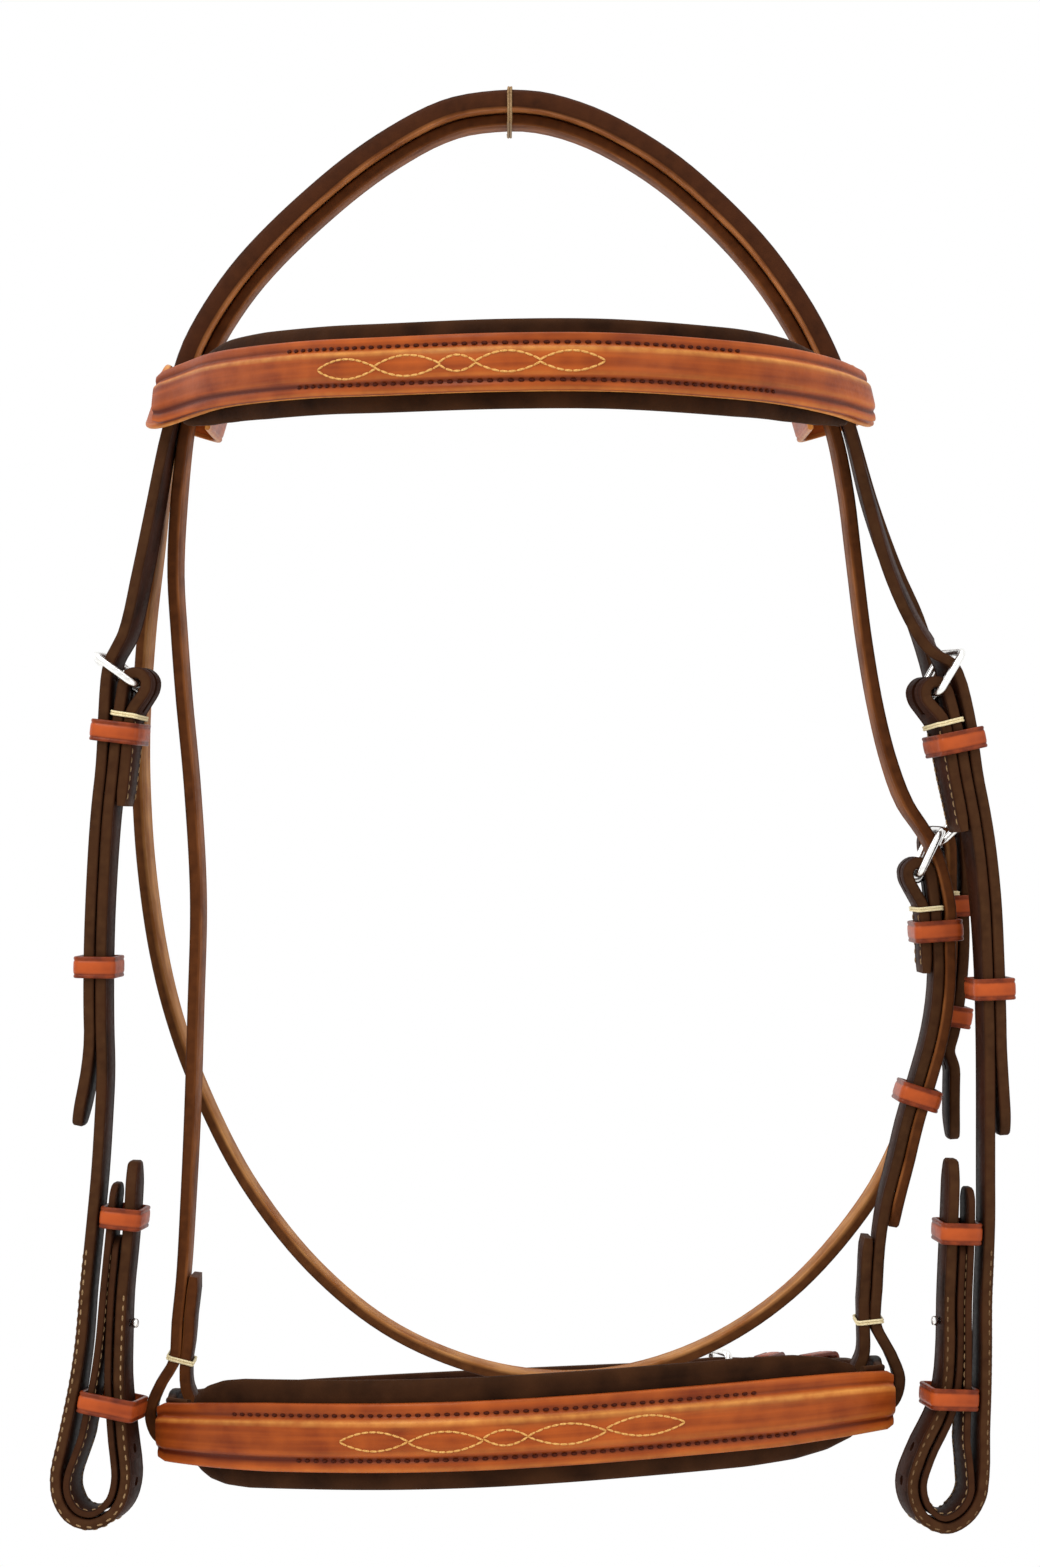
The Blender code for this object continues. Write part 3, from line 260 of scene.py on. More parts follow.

# Section of a face as shares of its half height and rise, with the wear and painted light of its upper and
# lower half: painted highlight on the upper ridge and rims, painted shade (below zero) in the grooves and
# along the lower edge
FACE = (
    (1.0, -0.80, -0.2, -0.7), (1.0, -0.10, -0.2, -0.5), (0.992, 0.08, 0.0, 0.1), (0.965, 0.22, 0.1, 0.4),
    (0.92, 0.30, 0.05, 0.35), (0.84, 0.34, 0.0, 0.1), (0.76, 0.32, -0.1, -0.1), (0.70, 0.20, -0.3, -0.5),
    (0.66, 0.10, -0.5, -0.9), (0.61, 0.12, -0.3, -0.9), (0.565, 0.34, 0.0, -0.6), (0.52, 0.66, 0.5, -0.1),
    (0.46, 0.86, 1.1, 0.25), (0.38, 0.96, 0.7, 0.2), (0.30, 0.99, 0.15, 0.05), (0.15, 1.0, 0.0, 0.0),
    (0.0, 1.0, 0.0, 0.0),
)

# Stud as radius and height
STUD = (
    (0.00005, 0.0), (0.0008, 0.0), (0.0008, 0.0040), (0.0009, 0.0043), (0.00128, 0.0045), (0.0015, 0.0049),
    (0.0016, 0.0054), (0.00155, 0.0059), (0.00135, 0.0063), (0.0009, 0.00655), (0.00045, 0.0066),
    (0.00005, 0.0066),
)

# Seams, ends of the pieces, wear, and darkening of the faces toward their first end
seam_pitch = 0.0031
lens_pitch = 0.0024
lens_power = 0.85
lens_cover = 0.97
bead_sides = 6
bead_shape = ((-1.0, 0.3), (-0.8, 0.78), (-0.3, 1.0), (0.3, 1.0), (0.8, 0.78), (1.0, 0.3))
thread_size = 0.0007
edge_inset = 0.0016
edge_pitch = 0.0032
first_end_darkening = 0.35
first_end_darkening_length = 0.1
dark_stitch = (seam_pitch * 0.62, thread_size * 1.6)
strap_pitch = 0.0029
strap_stitch = (strap_pitch * 0.7, 0.00055)
edge_stitch = (edge_pitch * 0.6, 0.0006)
strap_stitch_lift = 0.00005
fold_seam_inset = 0.002
lining_seam_end = 0.012
strap_round = 0.0008
crown_round = 0.0014
thin_round = 0.0005
end_round = 0.0008
tip_least, tip_gain, tip_power = 0.4, 0.6, 0.7
end_least, end_gain = 0.72, 0.28
face_end_least, face_end_gain = 0.7, 0.3
face_wide_least, face_wide_gain = 0.6, 0.4
tip_wear = 0.0012
tip_clear = 1.1
tip_marks = (0, 0.03, 0.08, 0.16, 0.26, 0.4, 0.55, 0.7, 0.85, 1.0)
pad_rings = 120
pad_edge = 0.003
pad_marks = (0.0001, 0.0006, 0.0014)
pad_least, pad_gain = 0.25, 0.75
pad_narrow_least, pad_narrow_gain = 0.86, 0.14
pad_width_power, pad_crown_power = 0.55, 0.62
pin_shares = (0.0, 0.35, 0.7, 0.95, 1.0)
pin_radii = [0.92, 0.8, 0.45]

# Seams of the faces as share of the half height, first and last column
browband_seams = ((0.655, 290, 742), (-0.655, 300, 778))
nose_seams = ((0.66, 236, 760), (-0.66, 300, 800))

# Lenses of crossed stitches as first and last column, half height and shift
browband_lenses = (
    (321, 379, 0.0030, -0.0008), (377, 442, 0.0031, -0.0004), (440, 478, 0.0024, -0.0002),
    (476, 541, 0.0031, 0.0), (539, 604, 0.0030, 0.0),
)
nose_lenses = (
    (343, 411, 0.0030, -0.0008), (409, 485, 0.0032, -0.0012), (483, 529, 0.0024, -0.0006),
    (527, 606, 0.0032, -0.0006), (604, 682, 0.0031, 0.0002),
)

# Rows of the front view where fittings sit
cheek_rows = {
    "off": {
        "tip": 1126, "fixed": 732, "sliding": 966, "lining": 1180, "stud": 1322, "upper": 1215, "lower": 1400,
    },
    "near": {
        "tip": 1134, "fixed": 742, "sliding": 988, "lining": 1186, "stud": 1320, "upper": 1231, "lower": 1396,
    },
}
lining_end_row = 1236
bit_seam_row = 1250
edge_seam_row = 1290
hook_hole_rows = (1480, 1448)
throat_lay_row = 1046
throat_keeper_rows = (905, 1013)
hanger_tip_row = 1224
hanger_keeper_rows = (930, 1093)
hanger_whip_row = 1318
browband_loop_row = 399

# Shares of a lane at the first points below the crownpiece
throat_off_ease = (0.55, 0.85)
throat_near_ease = (0.5, 0.68, 0.85)
slip_off_ease = (0.6,)
slip_near_ease = (0.5, 0.9)

# Angles in degrees of a hanger loop, and of a strap and a tongue round a buckle's bar
ring_angles = (128, 180, -135, -90, -45, 0, 52)
eye_angles = (-8, 41, 90, 139, 188)
hook_angles = range(250, 89, -16)

# Stage
world_level = 0.8
aim = (0.0, 0.0, -0.22)
sensor = 36.0
photo_rows = 1567


def place(x_px, row_px, depth):
    """Point of the front view at a depth behind the plane of the poll."""
    scale = pixel * (view_distance + depth) / view_distance
    rise = (level_row_px - row_px) * scale - (level_row_px - rest_row_px) * pixel
    return np.array([(x_px - middle_px) * scale, depth, rise])


def unit(vector):
    return vector / np.linalg.norm(vector)


def lead(first, second, t0, t1, t):
    """Value at a time between two values, or on past them."""
    return (first * (t1 - t) + second * (t - t0)) / (t1 - t0)


def smooth(rows):
    """Curve through rows of a point and its width direction, with how far along each point lies."""
    rows = np.array(rows, float)
    ends = np.vstack([2 * rows[0] - rows[1], rows, 2 * rows[-1] - rows[-2]])
    spans = np.linalg.norm(np.diff(ends[:, :3], axis=0), axis=1) ** 0.5
    knots = np.concatenate([[0.0], np.cumsum(spans)])
    out = []
    for i in range(1, len(ends) - 2):
        p0, p1, p2, p3 = ends[i - 1:i + 3]
        t0, t1, t2, t3 = knots[i - 1:i + 3]
        for t in np.linspace(t1, t2, fine_count, endpoint=False):
            a1, a2, a3 = lead(p0, p1, t0, t1, t), lead(p1, p2, t1, t2, t), lead(p2, p3, t2, t3, t)
            out.append(lead(lead(a1, a2, t0, t2, t), lead(a2, a3, t1, t3, t), t1, t2, t))
    out = np.array(out + [rows[-1]])
    steps = np.linalg.norm(np.diff(out[:, :3], axis=0), axis=1)
    return out, np.concatenate([[0.0], np.cumsum(steps)])


def length_of(path):
    return path[1][-1]


def station(path, s):
    """Point, run, width and thickness directions of a path at a length along it."""
    rows, lengths = path
    small = lengths[-1] / len(lengths) / 2
    spots = max(s - small, 0.0), min(s + small, lengths[-1]), s
    low, high, here = (np.array([np.interp(spot, lengths, column) for column in rows.T]) for spot in spots)
    run = unit(high[:3] - low[:3])
    across = unit(here[3:] - run * here[3:].dot(run))
    return here[:3], run, across, np.cross(across, run)


def at_row(path, row_px, depth, start=0.0):
    """Length along a path, past a start, where it first reaches a row of the front view."""
    height = place(middle_px, row_px, depth)[2]
    rows, lengths = path
    above = rows[:, 2] - height
    for i in range(1, len(lengths)):
        if lengths[i] > start and above[i - 1] * above[i] <= 0 and above[i - 1] != above[i]:
            share = above[i - 1] / (above[i - 1] - above[i])
            return lengths[i - 1] + share * (lengths[i] - lengths[i - 1])
    raise ValueError(f"no such row {row_px}")


def strap_rows(table, depths):
    """Rows of a strap route, whose depths are given at its ends or one for each point."""
    if len(depths) == 2:
        depths = np.linspace(depths[0], depths[1], len(table))
    rows = []
    for (x_px, row_px, turn), depth in zip(table, depths):
        lean = math.radians(turn)
        rows.append(np.concatenate([place(x_px, row_px, depth), [math.sin(lean), math.cos(lean), 0.0]]))
    return rows


def beside(path, s0, s1, count, offset):
    """Rows that follow a path at an offset toward its thickness direction."""
    rows = []
    for s in np.linspace(s0, s1, count):
        point, run, across, up = station(path, s)
        share = (s - s0) / (s1 - s0)
        shift = offset(share) if callable(offset) else offset
        rows.append(np.concatenate([point + up * shift, across]))
    return rows


def stations(path, reach):
    """Lengths along a path, closer where it bends."""
    total = length_of(path)
    fine = np.linspace(0.0, total, max(int(total / reach * 6), 12))
    chosen, turned = [0.0], 0.0
    spots = [station(path, s) for s in fine]
    for i in range(1, len(fine) - 1):
        turned += math.acos(min(1.0, spots[i][1].dot(spots[i - 1][1])))
        turned += math.acos(min(1.0, spots[i][2].dot(spots[i - 1][2]))) / 2
        if turned > ring_turn or fine[i] - chosen[-1] > reach:
            if total - fine[i] > reach / 8:
                chosen.append(fine[i])
                turned = 0.0
    return chosen + [total]


def colour(red, green, blue):
    """Linear colour of a display colour from 0 to 255."""
    parts = []
    for value in (red, green, blue):
        value = value / 255
        parts.append(value / 12.92 if value <= 0.04045 else ((value + 0.055) / 1.055) ** 2.4)
    return (*parts, 1.0)


class Nodes:
    """Node tree whose nodes are added and linked one at a time."""

    def __init__(self, tree):
        self.tree = tree

    def add(self, kind, values=(), **settings):
        made = self.tree.nodes.new("ShaderNode" + kind)
        for key, value in settings.items():
            setattr(made, key, value)
        for key, value in dict(values).items():
            if isinstance(value, bpy.types.NodeSocket):
                self.tree.links.new(value, made.inputs[key])
            else:
                made.inputs[key].default_value = value
        return made

    def blend(self, share, first, second, output):
        """Mix of two shaders, led to an output."""
        both = self.add("MixShader", {0: share, 1: first.outputs[0], 2: second.outputs[0]})
        self.tree.links.new(both.outputs[0], self.tree.nodes[output].inputs["Surface"])

    def noise(self, vector, scale, detail=3.0, rough=0.5):
        values = {"Vector": vector, "Scale": scale, "Detail": detail, "Roughness": rough}
        return self.add("TexNoise", values).outputs["Fac"]

    def stretch(self, vector, factors):
        return self.add("VectorMath", {0: vector, 1: factors}, operation="MULTIPLY").outputs[0]

    def span(self, value, low, high, to_low=0.0, to_high=1.0):
        values = {"Value": value, "From Min": low, "From Max": high, "To Min": to_low, "To Max": to_high}
        return self.add("MapRange", values).outputs["Result"]

    def mix(self, share, first, second):
        return self.add("Mix", {0: share, 6: first, 7: second}, data_type="RGBA").outputs[2]

    def sum(self, first, second, kind="ADD"):
        return self.add("Math", {0: first, 1: second}, operation=kind).outputs[0]


class Look(Nodes):
    """Material with one shader."""

    def __init__(self, name, roughness, metallic=0.0):
        self.made = bpy.data.materials.new(name)
        self.made.use_nodes = True
        super().__init__(self.made.node_tree)
        self.shader = self.tree.nodes["Principled BSDF"]
        self.shader.inputs["Roughness"].default_value = roughness
        self.shader.inputs["Metallic"].default_value = metallic

    def bump(self, height, strength, distance):
        values = {"Height": height, "Strength": strength, "Distance": distance}
        self.join(self.add("Bump", values).outputs["Normal"], "Normal")

    def join(self, value, socket):
        self.tree.links.new(value, self.shader.inputs[socket])


def leather(name, tones, edge, roughness, shine, coat, grain, streak, flesh=None, streak_and_painted_shade=None):
    """Waxed leather: mottled, streaked, grained, and of other tones at its edges and inner face, with painted
    highlight and painted shade led by the wear attribute.
    """
    look = Look(name, roughness)
    place_on = look.add("Attribute", attribute_name="strap").outputs["Vector"]
    wear_and_painted_light = look.add("Attribute", attribute_name="wear_and_painted_light").outputs["Fac"]
    cloud = look.span(look.noise(place_on, 70.0), 0.34, 0.66)
    line = look.span(look.noise(look.stretch(place_on, (14.0, 420.0, 420.0)), 1.0, 2.0), 0.3, 0.7)
    tone = look.mix(cloud, colour(*tones[0]), colour(*tones[1]))
    tone = look.mix(look.sum(line, streak, "MULTIPLY"), tone, colour(*tones[1]))
    # Edge tone where the wear attribute is above zero: rubbed edges with painted light on rims and ridges, a
    # painted highlight on most leathers and painted shade on keepers
    rub_and_painted_light = look.sum(wear_and_painted_light, look.span(look.noise(place_on, 260.0), 0.25, 0.7, 0.4, 1.0), "MULTIPLY")
    tone = look.mix(rub_and_painted_light, tone, colour(*edge))
    # Darker tone in the streaks, and where the wear attribute is below zero: painted shade in grooves and
    # along lower edges
    if streak_and_painted_shade:
        tone = look.mix(look.sum(look.sum(1.0, line, "SUBTRACT"), 0.4, "MULTIPLY"), tone, colour(*streak_and_painted_shade))
        tone = look.mix(look.sum(wear_and_painted_light, -1.0, "MULTIPLY"), tone, colour(*streak_and_painted_shade))
    if flesh:
        depth = look.add("SeparateXYZ", {0: place_on}).outputs["Z"]
        raw = look.span(look.sum(depth, look.sum(line, 0.0006, "MULTIPLY"), "SUBTRACT"), *flesh[:2])
        tone = look.mix(raw, tone, look.mix(cloud, colour(*flesh[2]), colour(*flesh[3])))
    look.join(tone, "Base Color")
    speck = look.noise(place_on, 900.0, 4.0, 0.6)
    look.join(look.span(speck, 0.3, 0.7, roughness - 0.07, roughness + 0.10), "Roughness")
    pebble = look.add("TexVoronoi", {"Vector": place_on, "Scale": 850.0}).outputs["Distance"]
    height = look.sum(look.sum(pebble, 0.6, "MULTIPLY"), speck)
    look.bump(height, grain, 0.00012)
    look.shader.inputs["Coat Weight"].default_value = coat
    look.shader.inputs["Coat Roughness"].default_value = 0.22
    look.shader.inputs["Specular IOR Level"].default_value = shine
    return look.made


def steel_look(name):
    """Polished steel with faint rolling marks."""
    look = Look(name, 0.24, 1.0)
    where = look.add("TexCoord").outputs["Object"]
    marks = look.noise(look.stretch(where, (300.0, 2600.0, 900.0)), 1.0, 3.0)
    tone = look.mix(look.span(marks, 0.3, 0.7), colour(232, 231, 227), colour(252, 251, 249))
    look.join(tone, "Base Color")
    look.join(look.span(marks, 0.3, 0.7, 0.18, 0.34), "Roughness")
    look.bump(marks, 0.05, 0.00005)
    return look.made


def thread_look(name, dark, light):
    """Waxed thread with its twist."""
    look = Look(name, 0.6)
    where = look.add("TexCoord").outputs["Object"]
    twist = look.noise(where, 2600.0, 2.0)
    look.join(look.mix(look.span(twist, 0.35, 0.65), colour(*dark), colour(*light)), "Base Color")
    look.bump(twist, 0.4, 0.0001)
    look.shader.inputs["Specular IOR Level"].default_value = 0.1
    return look.made


LOOKS = {
    # Edge tones of these straps: rubbed edges with a painted highlight on their rounded rims
    "strap": leather("strap_leather", ((24, 10, 5), (54, 27, 15)), (71, 45, 26), 0.55, 0.035, 0.0, 0.35, 0.5),
    "throat": leather(
        "throat_leather", ((28, 12, 6), (62, 31, 14)), (92, 54, 27), 0.55, 0.04, 0.0, 0.3, 0.45,
        flesh=(0.0003, 0.0017, (148, 90, 44), (190, 134, 80)),
    ),
    "slip": leather(
        "hanger_leather", ((28, 12, 6), (62, 30, 13)), (88, 48, 22), 0.55, 0.04, 0.0, 0.3, 0.45,
        flesh=(0.0006, 0.0018, (104, 56, 24), (146, 88, 46)),
    ),
    "crown": leather(
        "crown_leather", ((22, 9, 4), (56, 27, 12)), (68, 35, 16), 0.5, 0.06, 0.0, 0.3, 0.5,
        flesh=(0.0019, 0.0027, (132, 74, 34), (176, 110, 60)),
    ),
    "lining": leather(
        "loop_lining_leather", ((22, 10, 5), (52, 27, 15)), (64, 38, 22), 0.58, 0.035, 0.0, 0.35, 0.45,
    ),
    # Tan faces: the light edge tone is rubbed edges with a painted highlight, the last tone is streaks and
    # painted shade
    "tan": leather(
        "tan_leather", ((128, 50, 14), (176, 84, 28)), (218, 146, 70), 0.42, 0.12, 0.06, 0.22, 0.6,
        streak_and_painted_shade=(84, 28, 7),
    ),
    # Keepers: the dark edge tone is painted shade on their rims and corners
    "keeper": leather(
        "keeper_leather", ((116, 43, 15), (176, 78, 30)), (78, 25, 9), 0.4, 0.14, 0.08, 0.22, 0.45,
    ),
    "pad": leather("pad_leather", ((30, 15, 7), (58, 33, 17)), (70, 42, 22), 0.6, 0.035, 0.0, 0.45, 0.25),
    "steel": steel_look("buckle_steel"),
    "cream": thread_look("cream_thread", (190, 132, 66), (226, 176, 104)),
    "whip": thread_look("whip_thread", (206, 188, 142), (240, 226, 186)),
    "dark": thread_look("dark_thread", (48, 14, 5), (78, 28, 12)),
    # Darker copy of the brown thread, for the near side's loop seam: painted shade
    "shaded_brown": thread_look("shaded_brown_thread", (84, 60, 38), (124, 96, 66)),
    "brown": thread_look("brown_thread", (116, 90, 60), (162, 132, 96)),
}


def dressed(obj, look, body, nodes=()):
    """Piece given its look, the body it rides on and the nodes that it stands for."""
    obj.data.materials.append(LOOKS[look])
    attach(obj, body)
    if nodes:
        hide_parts(*nodes)
    return obj


def linked(name, data):
    """Object of some data, put in the scene."""
    made = bpy.data.objects.new(name, data)
    bpy.context.scene.collection.objects.link(made)
    return made


def section(width, thickness, rounding, outer, inner, corner_wear_and_light=(1.0, 0.8, 0.3, 0.2)):
    """Outline of a strap's section, as width, thickness and wear with painted light, from reliefs by inset
    from the edge.
    """
    half, rise = width / 2, thickness / 2
    corner = []
    # Rounded corners: rubbed edges with painted light, strongest on the edge wall and fading onto the face
    for turn, wear_and_painted_light in zip((0, 30, 60, 90), corner_wear_and_light):
        angle = math.radians(turn)
        v, t = half - rounding + rounding * math.cos(angle), rise - rounding + rounding * math.sin(angle)
        corner.append((v, t, wear_and_painted_light))
    points = []
    for relief, sign in ((outer, 1), (inner, -1)):
        right = list(corner) + [(half - inset, rise + lift, wear_and_painted_light) for inset, lift, wear_and_painted_light in relief]
        left = [(-v, t, wear_and_painted_light) for v, t, wear_and_painted_light in reversed(right) if v > 0]
        points += [(sign * v, sign * t, wear_and_painted_light) for v, t, wear_and_painted_light in right + left]
    return points


def tube(first, count, around, closed=False):
    """Faces of a tube through rings of points, with caps at its ends unless it is closed."""
    faces = []
    for i in range(count if closed else count - 1):
        a, b = first + i * around, first + (i + 1) % count * around
        for j in range(around):
            k = (j + 1) % around
            faces.append((a + j, a + k, b + k, b + j))
    if not closed:
        last = first + (count - 1) * around
        faces += [tuple(range(first, first + around))[::-1], tuple(range(last, last + around))]
    return faces


def swept(node, kind, rings, look, closed=False):
    """Piece in place of a node, through rings of points with their place on the strap and their wear with
    painted highlight and shade.
    """
    points, places, wear_and_painted_light = zip(*(item for ring in rings for item in ring))
    mesh = bpy.data.meshes.new(f"{node}_{kind}")
    mesh.from_pydata([tuple(point) for point in points], [], tube(0, len(rings), len(rings[0]), closed))
    layers = ("strap", "FLOAT_VECTOR", "vector", places), ("wear_and_painted_light", "FLOAT", "value", wear_and_painted_light)
    for name, form, key, values in layers:
        layer = mesh.attributes.new(name, form, "POINT")
        layer.data.foreach_set(key, np.array(values, float).ravel())
    bm = bmesh.new()
    bm.from_mesh(mesh)
    bmesh.ops.recalc_face_normals(bm, faces=bm.faces)
    bm.to_mesh(mesh)
    bm.free()
    mesh.shade_smooth()
    mesh.set_sharp_from_angle(angle=math.radians(50))
    return dressed(linked(f"{node}_{kind}", mesh), look, body_of[node], [node])


def strap(
    node, path, look="strap", tips=(0.0, 0.0), width=strap_width, thickness=strap_thickness, relief=CREASE,
    rounding=strap_round,
):
    """Strap along a path in place of a node, pointed over a length at either end."""
    outline = section(width, thickness, rounding, relief, relief)
    total = length_of(path)
    marks = stations(path, ring_reach)
    for end, tip, sign in ((0.0, tips[0], 1), (total, tips[1], -1)):
        if tip:
            marks = [s for s in marks if sign * (s - end) > tip * tip_clear]
            marks += [end + sign * tip * share for share in tip_marks]
    rings = []
    for s in sorted(marks):
        point, run, across, up = station(path, s)
        narrow = 1.0
        for gone, tip in ((s, tips[0]), (total - s, tips[1])):
            if tip and gone < tip:
                drawn = math.sin(math.pi / 2 * max(gone, 0.0) / tip) ** tip_power
                narrow = min(narrow, tip_least + tip_gain * drawn)
        near = min(s, total - s)
        ends = min(1.0, end_least + end_gain * near / end_round)
        rubbed = max(0.0, 1 - near / tip_wear)
        ring = []
        for v, t, wear_and_painted_light in outline:
            ring.append((point + across * v * narrow + up * t * ends, (s, v * narrow, t), max(wear_and_painted_light, rubbed)))
        rings.append(ring)
    return swept(node, "strap", rings, look)


def opened(obj, shapes):
    """Openings cut through a strap."""
    bm = bmesh.new()
    for kind, matrix, sizes in shapes:
        if kind == "box":
            made = bmesh.ops.create_cube(bm, size=1.0)
            scale = Matrix.Diagonal((*sizes, 1.0))
        else:
            made = bmesh.ops.create_cone(bm, cap_ends=True, segments=20, radius1=0.5, radius2=0.5, depth=1.0)
            scale = Matrix.Diagonal((sizes[0], sizes[0], sizes[1], 1.0))
        bmesh.ops.transform(bm, matrix=matrix @ scale, verts=made["verts"])
    bmesh.ops.recalc_face_normals(bm, faces=bm.faces)
    mesh = bpy.data.meshes.new("cutter")
    bm.to_mesh(mesh)
    bm.free()
    cutter = linked("cutter", mesh)
    hole = obj.modifiers.new("holes", "BOOLEAN")
    hole.operation = "DIFFERENCE"
    hole.solver = "EXACT"
    hole.object = cutter
    graph = bpy.context.evaluated_depsgraph_get()
    whole = obj.evaluated_get(graph)
    made = bpy.data.meshes.new_from_object(whole, preserve_all_data_layers=True, depsgraph=graph)
    obj.modifiers.clear()
    obj.data = made
    bpy.data.objects.remove(cutter)
    return obj


def rounded_loop(centre, first, second, half_first, half_second, corner, steps=6):
    """Points of a rectangle with rounded corners, in a plane given by two directions."""
    points = []
    for quarter, (a, b) in enumerate(((1, 1), (-1, 1), (-1, -1), (1, -1))):
        for step in range(steps + 1):
            angle = math.radians(90 * quarter + 90 * step / steps)
            x = a * (half_first - corner) + corner * math.cos(angle)
            y = b * (half_second - corner) + corner * math.sin(angle)
            out = first * math.cos(angle) + second * math.sin(angle)
            points.append((centre + first * x + second * y, out))
    return points


def stack_at(members, path, s, half):
    """Directions of a path at a length along it, with the middle, width and depth of a stack there."""
    point, run, across, up = station(path, s)
    deep, wide = [], []
    for (rows, lengths), thickness, width, s0, s1 in members:
        for row, along in zip(rows, lengths):
            off = row[:3] - point
            if s0 <= along <= s1 and abs(off.dot(run)) <= half:
                twist = abs(unit(row[3:]).dot(up)) * width / 2
                deep += [off.dot(up) - thickness / 2 - twist, off.dot(up) + thickness / 2 + twist]
                wide += [off.dot(across) - width / 2, off.dot(across) + width / 2]
    low, high, left, right = min(deep), max(deep), min(wide), max(wide)
    centre = point + up * (low + high) / 2 + across * (left + right) / 2
    return run, across, up, centre, right - left, high - low


def keeper(node, path, s, members, play):
    """Loop of leather round a stack of straps, square to a path."""
    run, across, up, centre, width, depth = stack_at(members, path, s, keeper_width / 2 + fit_gap)
    half_across = (width + keeper_thickness) / 2 + keeper_play
    half_up = (depth + keeper_thickness) / 2 + play
    loop = rounded_loop(centre, across, up, half_across, half_up, keeper_corner)
    # Corners and rims at full wear take the keeper leather's dark edge tone: painted shade on the keeper's
    # rims
    outline = section(keeper_width, keeper_thickness, thin_round, KEEPER, PLAIN, (1.0, 1.0, 1.0, 1.0))
    rings, gone = [], 0.0
    for i, (spot, out) in enumerate(loop):
        gone += np.linalg.norm(spot - loop[i - 1][0]) if i else 0.0
        rings.append([(spot + run * v + out * t, (gone, v, t), wear_and_painted_light) for v, t, wear_and_painted_light in outline])
    return swept(node, "loop", rings, "keeper", True)


def wire(name, node, points, thickness, look, cyclic=False, resolution=5, radii=None):
    """Round wire through points in place of a node, closed into a loop or with rounded ends."""
    curve = bpy.data.curves.new(name, "CURVE")
    curve.dimensions = "3D"
    curve.bevel_depth = thickness / 2
    curve.bevel_resolution = resolution
    curve.use_fill_caps = not cyclic
    spline = curve.splines.new("POLY")
    spline.points.add(len(points) - 1)
    for i, (item, point) in enumerate(zip(spline.points, points)):
        item.co = (*point, 1.0)
        item.radius = radii[i] if radii else 1.0
    spline.use_cyclic_u = cyclic
    spline.use_smooth = True
    return dressed(linked(name, curve), look, body_of[node], [node])


def pose(centre, first, second, third):
    """Matrix that puts a shape's own axes along three directions."""
    matrix = Matrix.Identity(4)
    for k, axis in enumerate((first, second, third, centre)):
        for row in range(3):
            matrix[row][k] = float(axis[row])
    return matrix


def punched(path, lengths, thickness):
    """Round holes through a strap at lengths along it."""
    shapes = []
    for s in lengths:
        point, run, across, up = station(path, s)
        shapes.append(("rod", pose(point, run, across, up), (hole_size, thickness + overrun)))
    return shapes


def buckle(name, bar, end, across, side, width=strap_width, thickness=strap_thickness):
    """Frame from its bar to its end, with a tongue that hooks the bar and lies on the end."""
    reach = unit(end - bar)
    reach = unit(reach - across * reach.dot(across))
    out = np.cross(across, reach) * side
    middle = bar + reach * buckle_reach / 2
    half = width / 2 + buckle_side_play + wire_thickness / 2
    loop = [spot for spot, _ in rounded_loop(middle, reach, across, buckle_reach / 2, half, wire_thickness)]
    wire(name + "_wire", name + "_frame", loop, wire_thickness, "steel", True)
    clear = (wire_thickness + tongue_thickness) / 2 + fit_gap
    points = []
    for angle in hook_angles:
        turn = math.radians(angle)
        points.append(bar + reach * clear * math.cos(turn) + out * clear * math.sin(turn))
    tip = buckle_reach + wire_thickness / 2
    points += [bar + out * clear + reach * tip * share for share in pin_shares]
    radii = [1.0] * (len(points) - len(pin_radii)) + pin_radii
    wire(name + "_pin", name + "_tongue", points, tongue_thickness, "steel", radii=radii)
    line = bar + out * clear + reach * buckle_reach / 2
    hole = ("rod", pose(line, across, out, reach), (tongue_thickness + 2 * tongue_play, buckle_reach))
    deep = wire_thickness + 2 * thickness + overrun
    room = ("box", pose(bar, reach, out, across), (deep, deep, tongue_thickness + 2 * slot_play))
    return {"bar": bar, "reach": reach, "across": across, "thickness": thickness, "hole": hole, "slot": room}


def thread(node, path, s, members, look="whip"):
    """Two turns of waxed thread round a stack of straps, square to a path."""
    run, across, up, centre, width, depth = stack_at(members, path, s, thread_thickness)
    wall = fit_gap / 2 + thread_thickness / 2
    points = []
    for turn in range(2):
        loop = rounded_loop(centre, across, up, width / 2 + wall, depth / 2 + wall, 2 * edge_round, 3)
        for i, (spot, _) in enumerate(loop):
            points.append(spot + run * thread_thickness * (turn + i / len(loop) - 1))
    return wire(node + "_turns", node, points, thread_thickness, look, False, 3)


def beads(name, spots, thick, look, body):
    """Stitches of one seam, each a rounded bead of thread of its own length that dips at its ends."""
    verts, faces = [], []
    for point, run, up, length in spots:
        across = np.cross(up, run)
        faces += tube(len(verts), len(bead_shape), bead_sides)
        for along, wide in bead_shape:
            for k in range(bead_sides):
                angle = math.radians(360 / bead_sides * k)
                lift = thick / 2 * wide * math.sin(angle) - thick * 0.25 * abs(along) ** 3
                side = thick / 2 * wide * math.cos(angle)
                verts.append(point + run * along * length / 2 + across * side + up * lift)
    mesh = bpy.data.meshes.new(name)
    mesh.from_pydata([tuple(v) for v in verts], [], faces)
    mesh.shade_smooth()
    return dressed(linked(name, mesh), look, body)


def stitched(name, spots, size, look, body):
    """Seam of stitches of one length."""
    return beads(name, [(*spot, size[0]) for spot in spots], size[1], look, body)


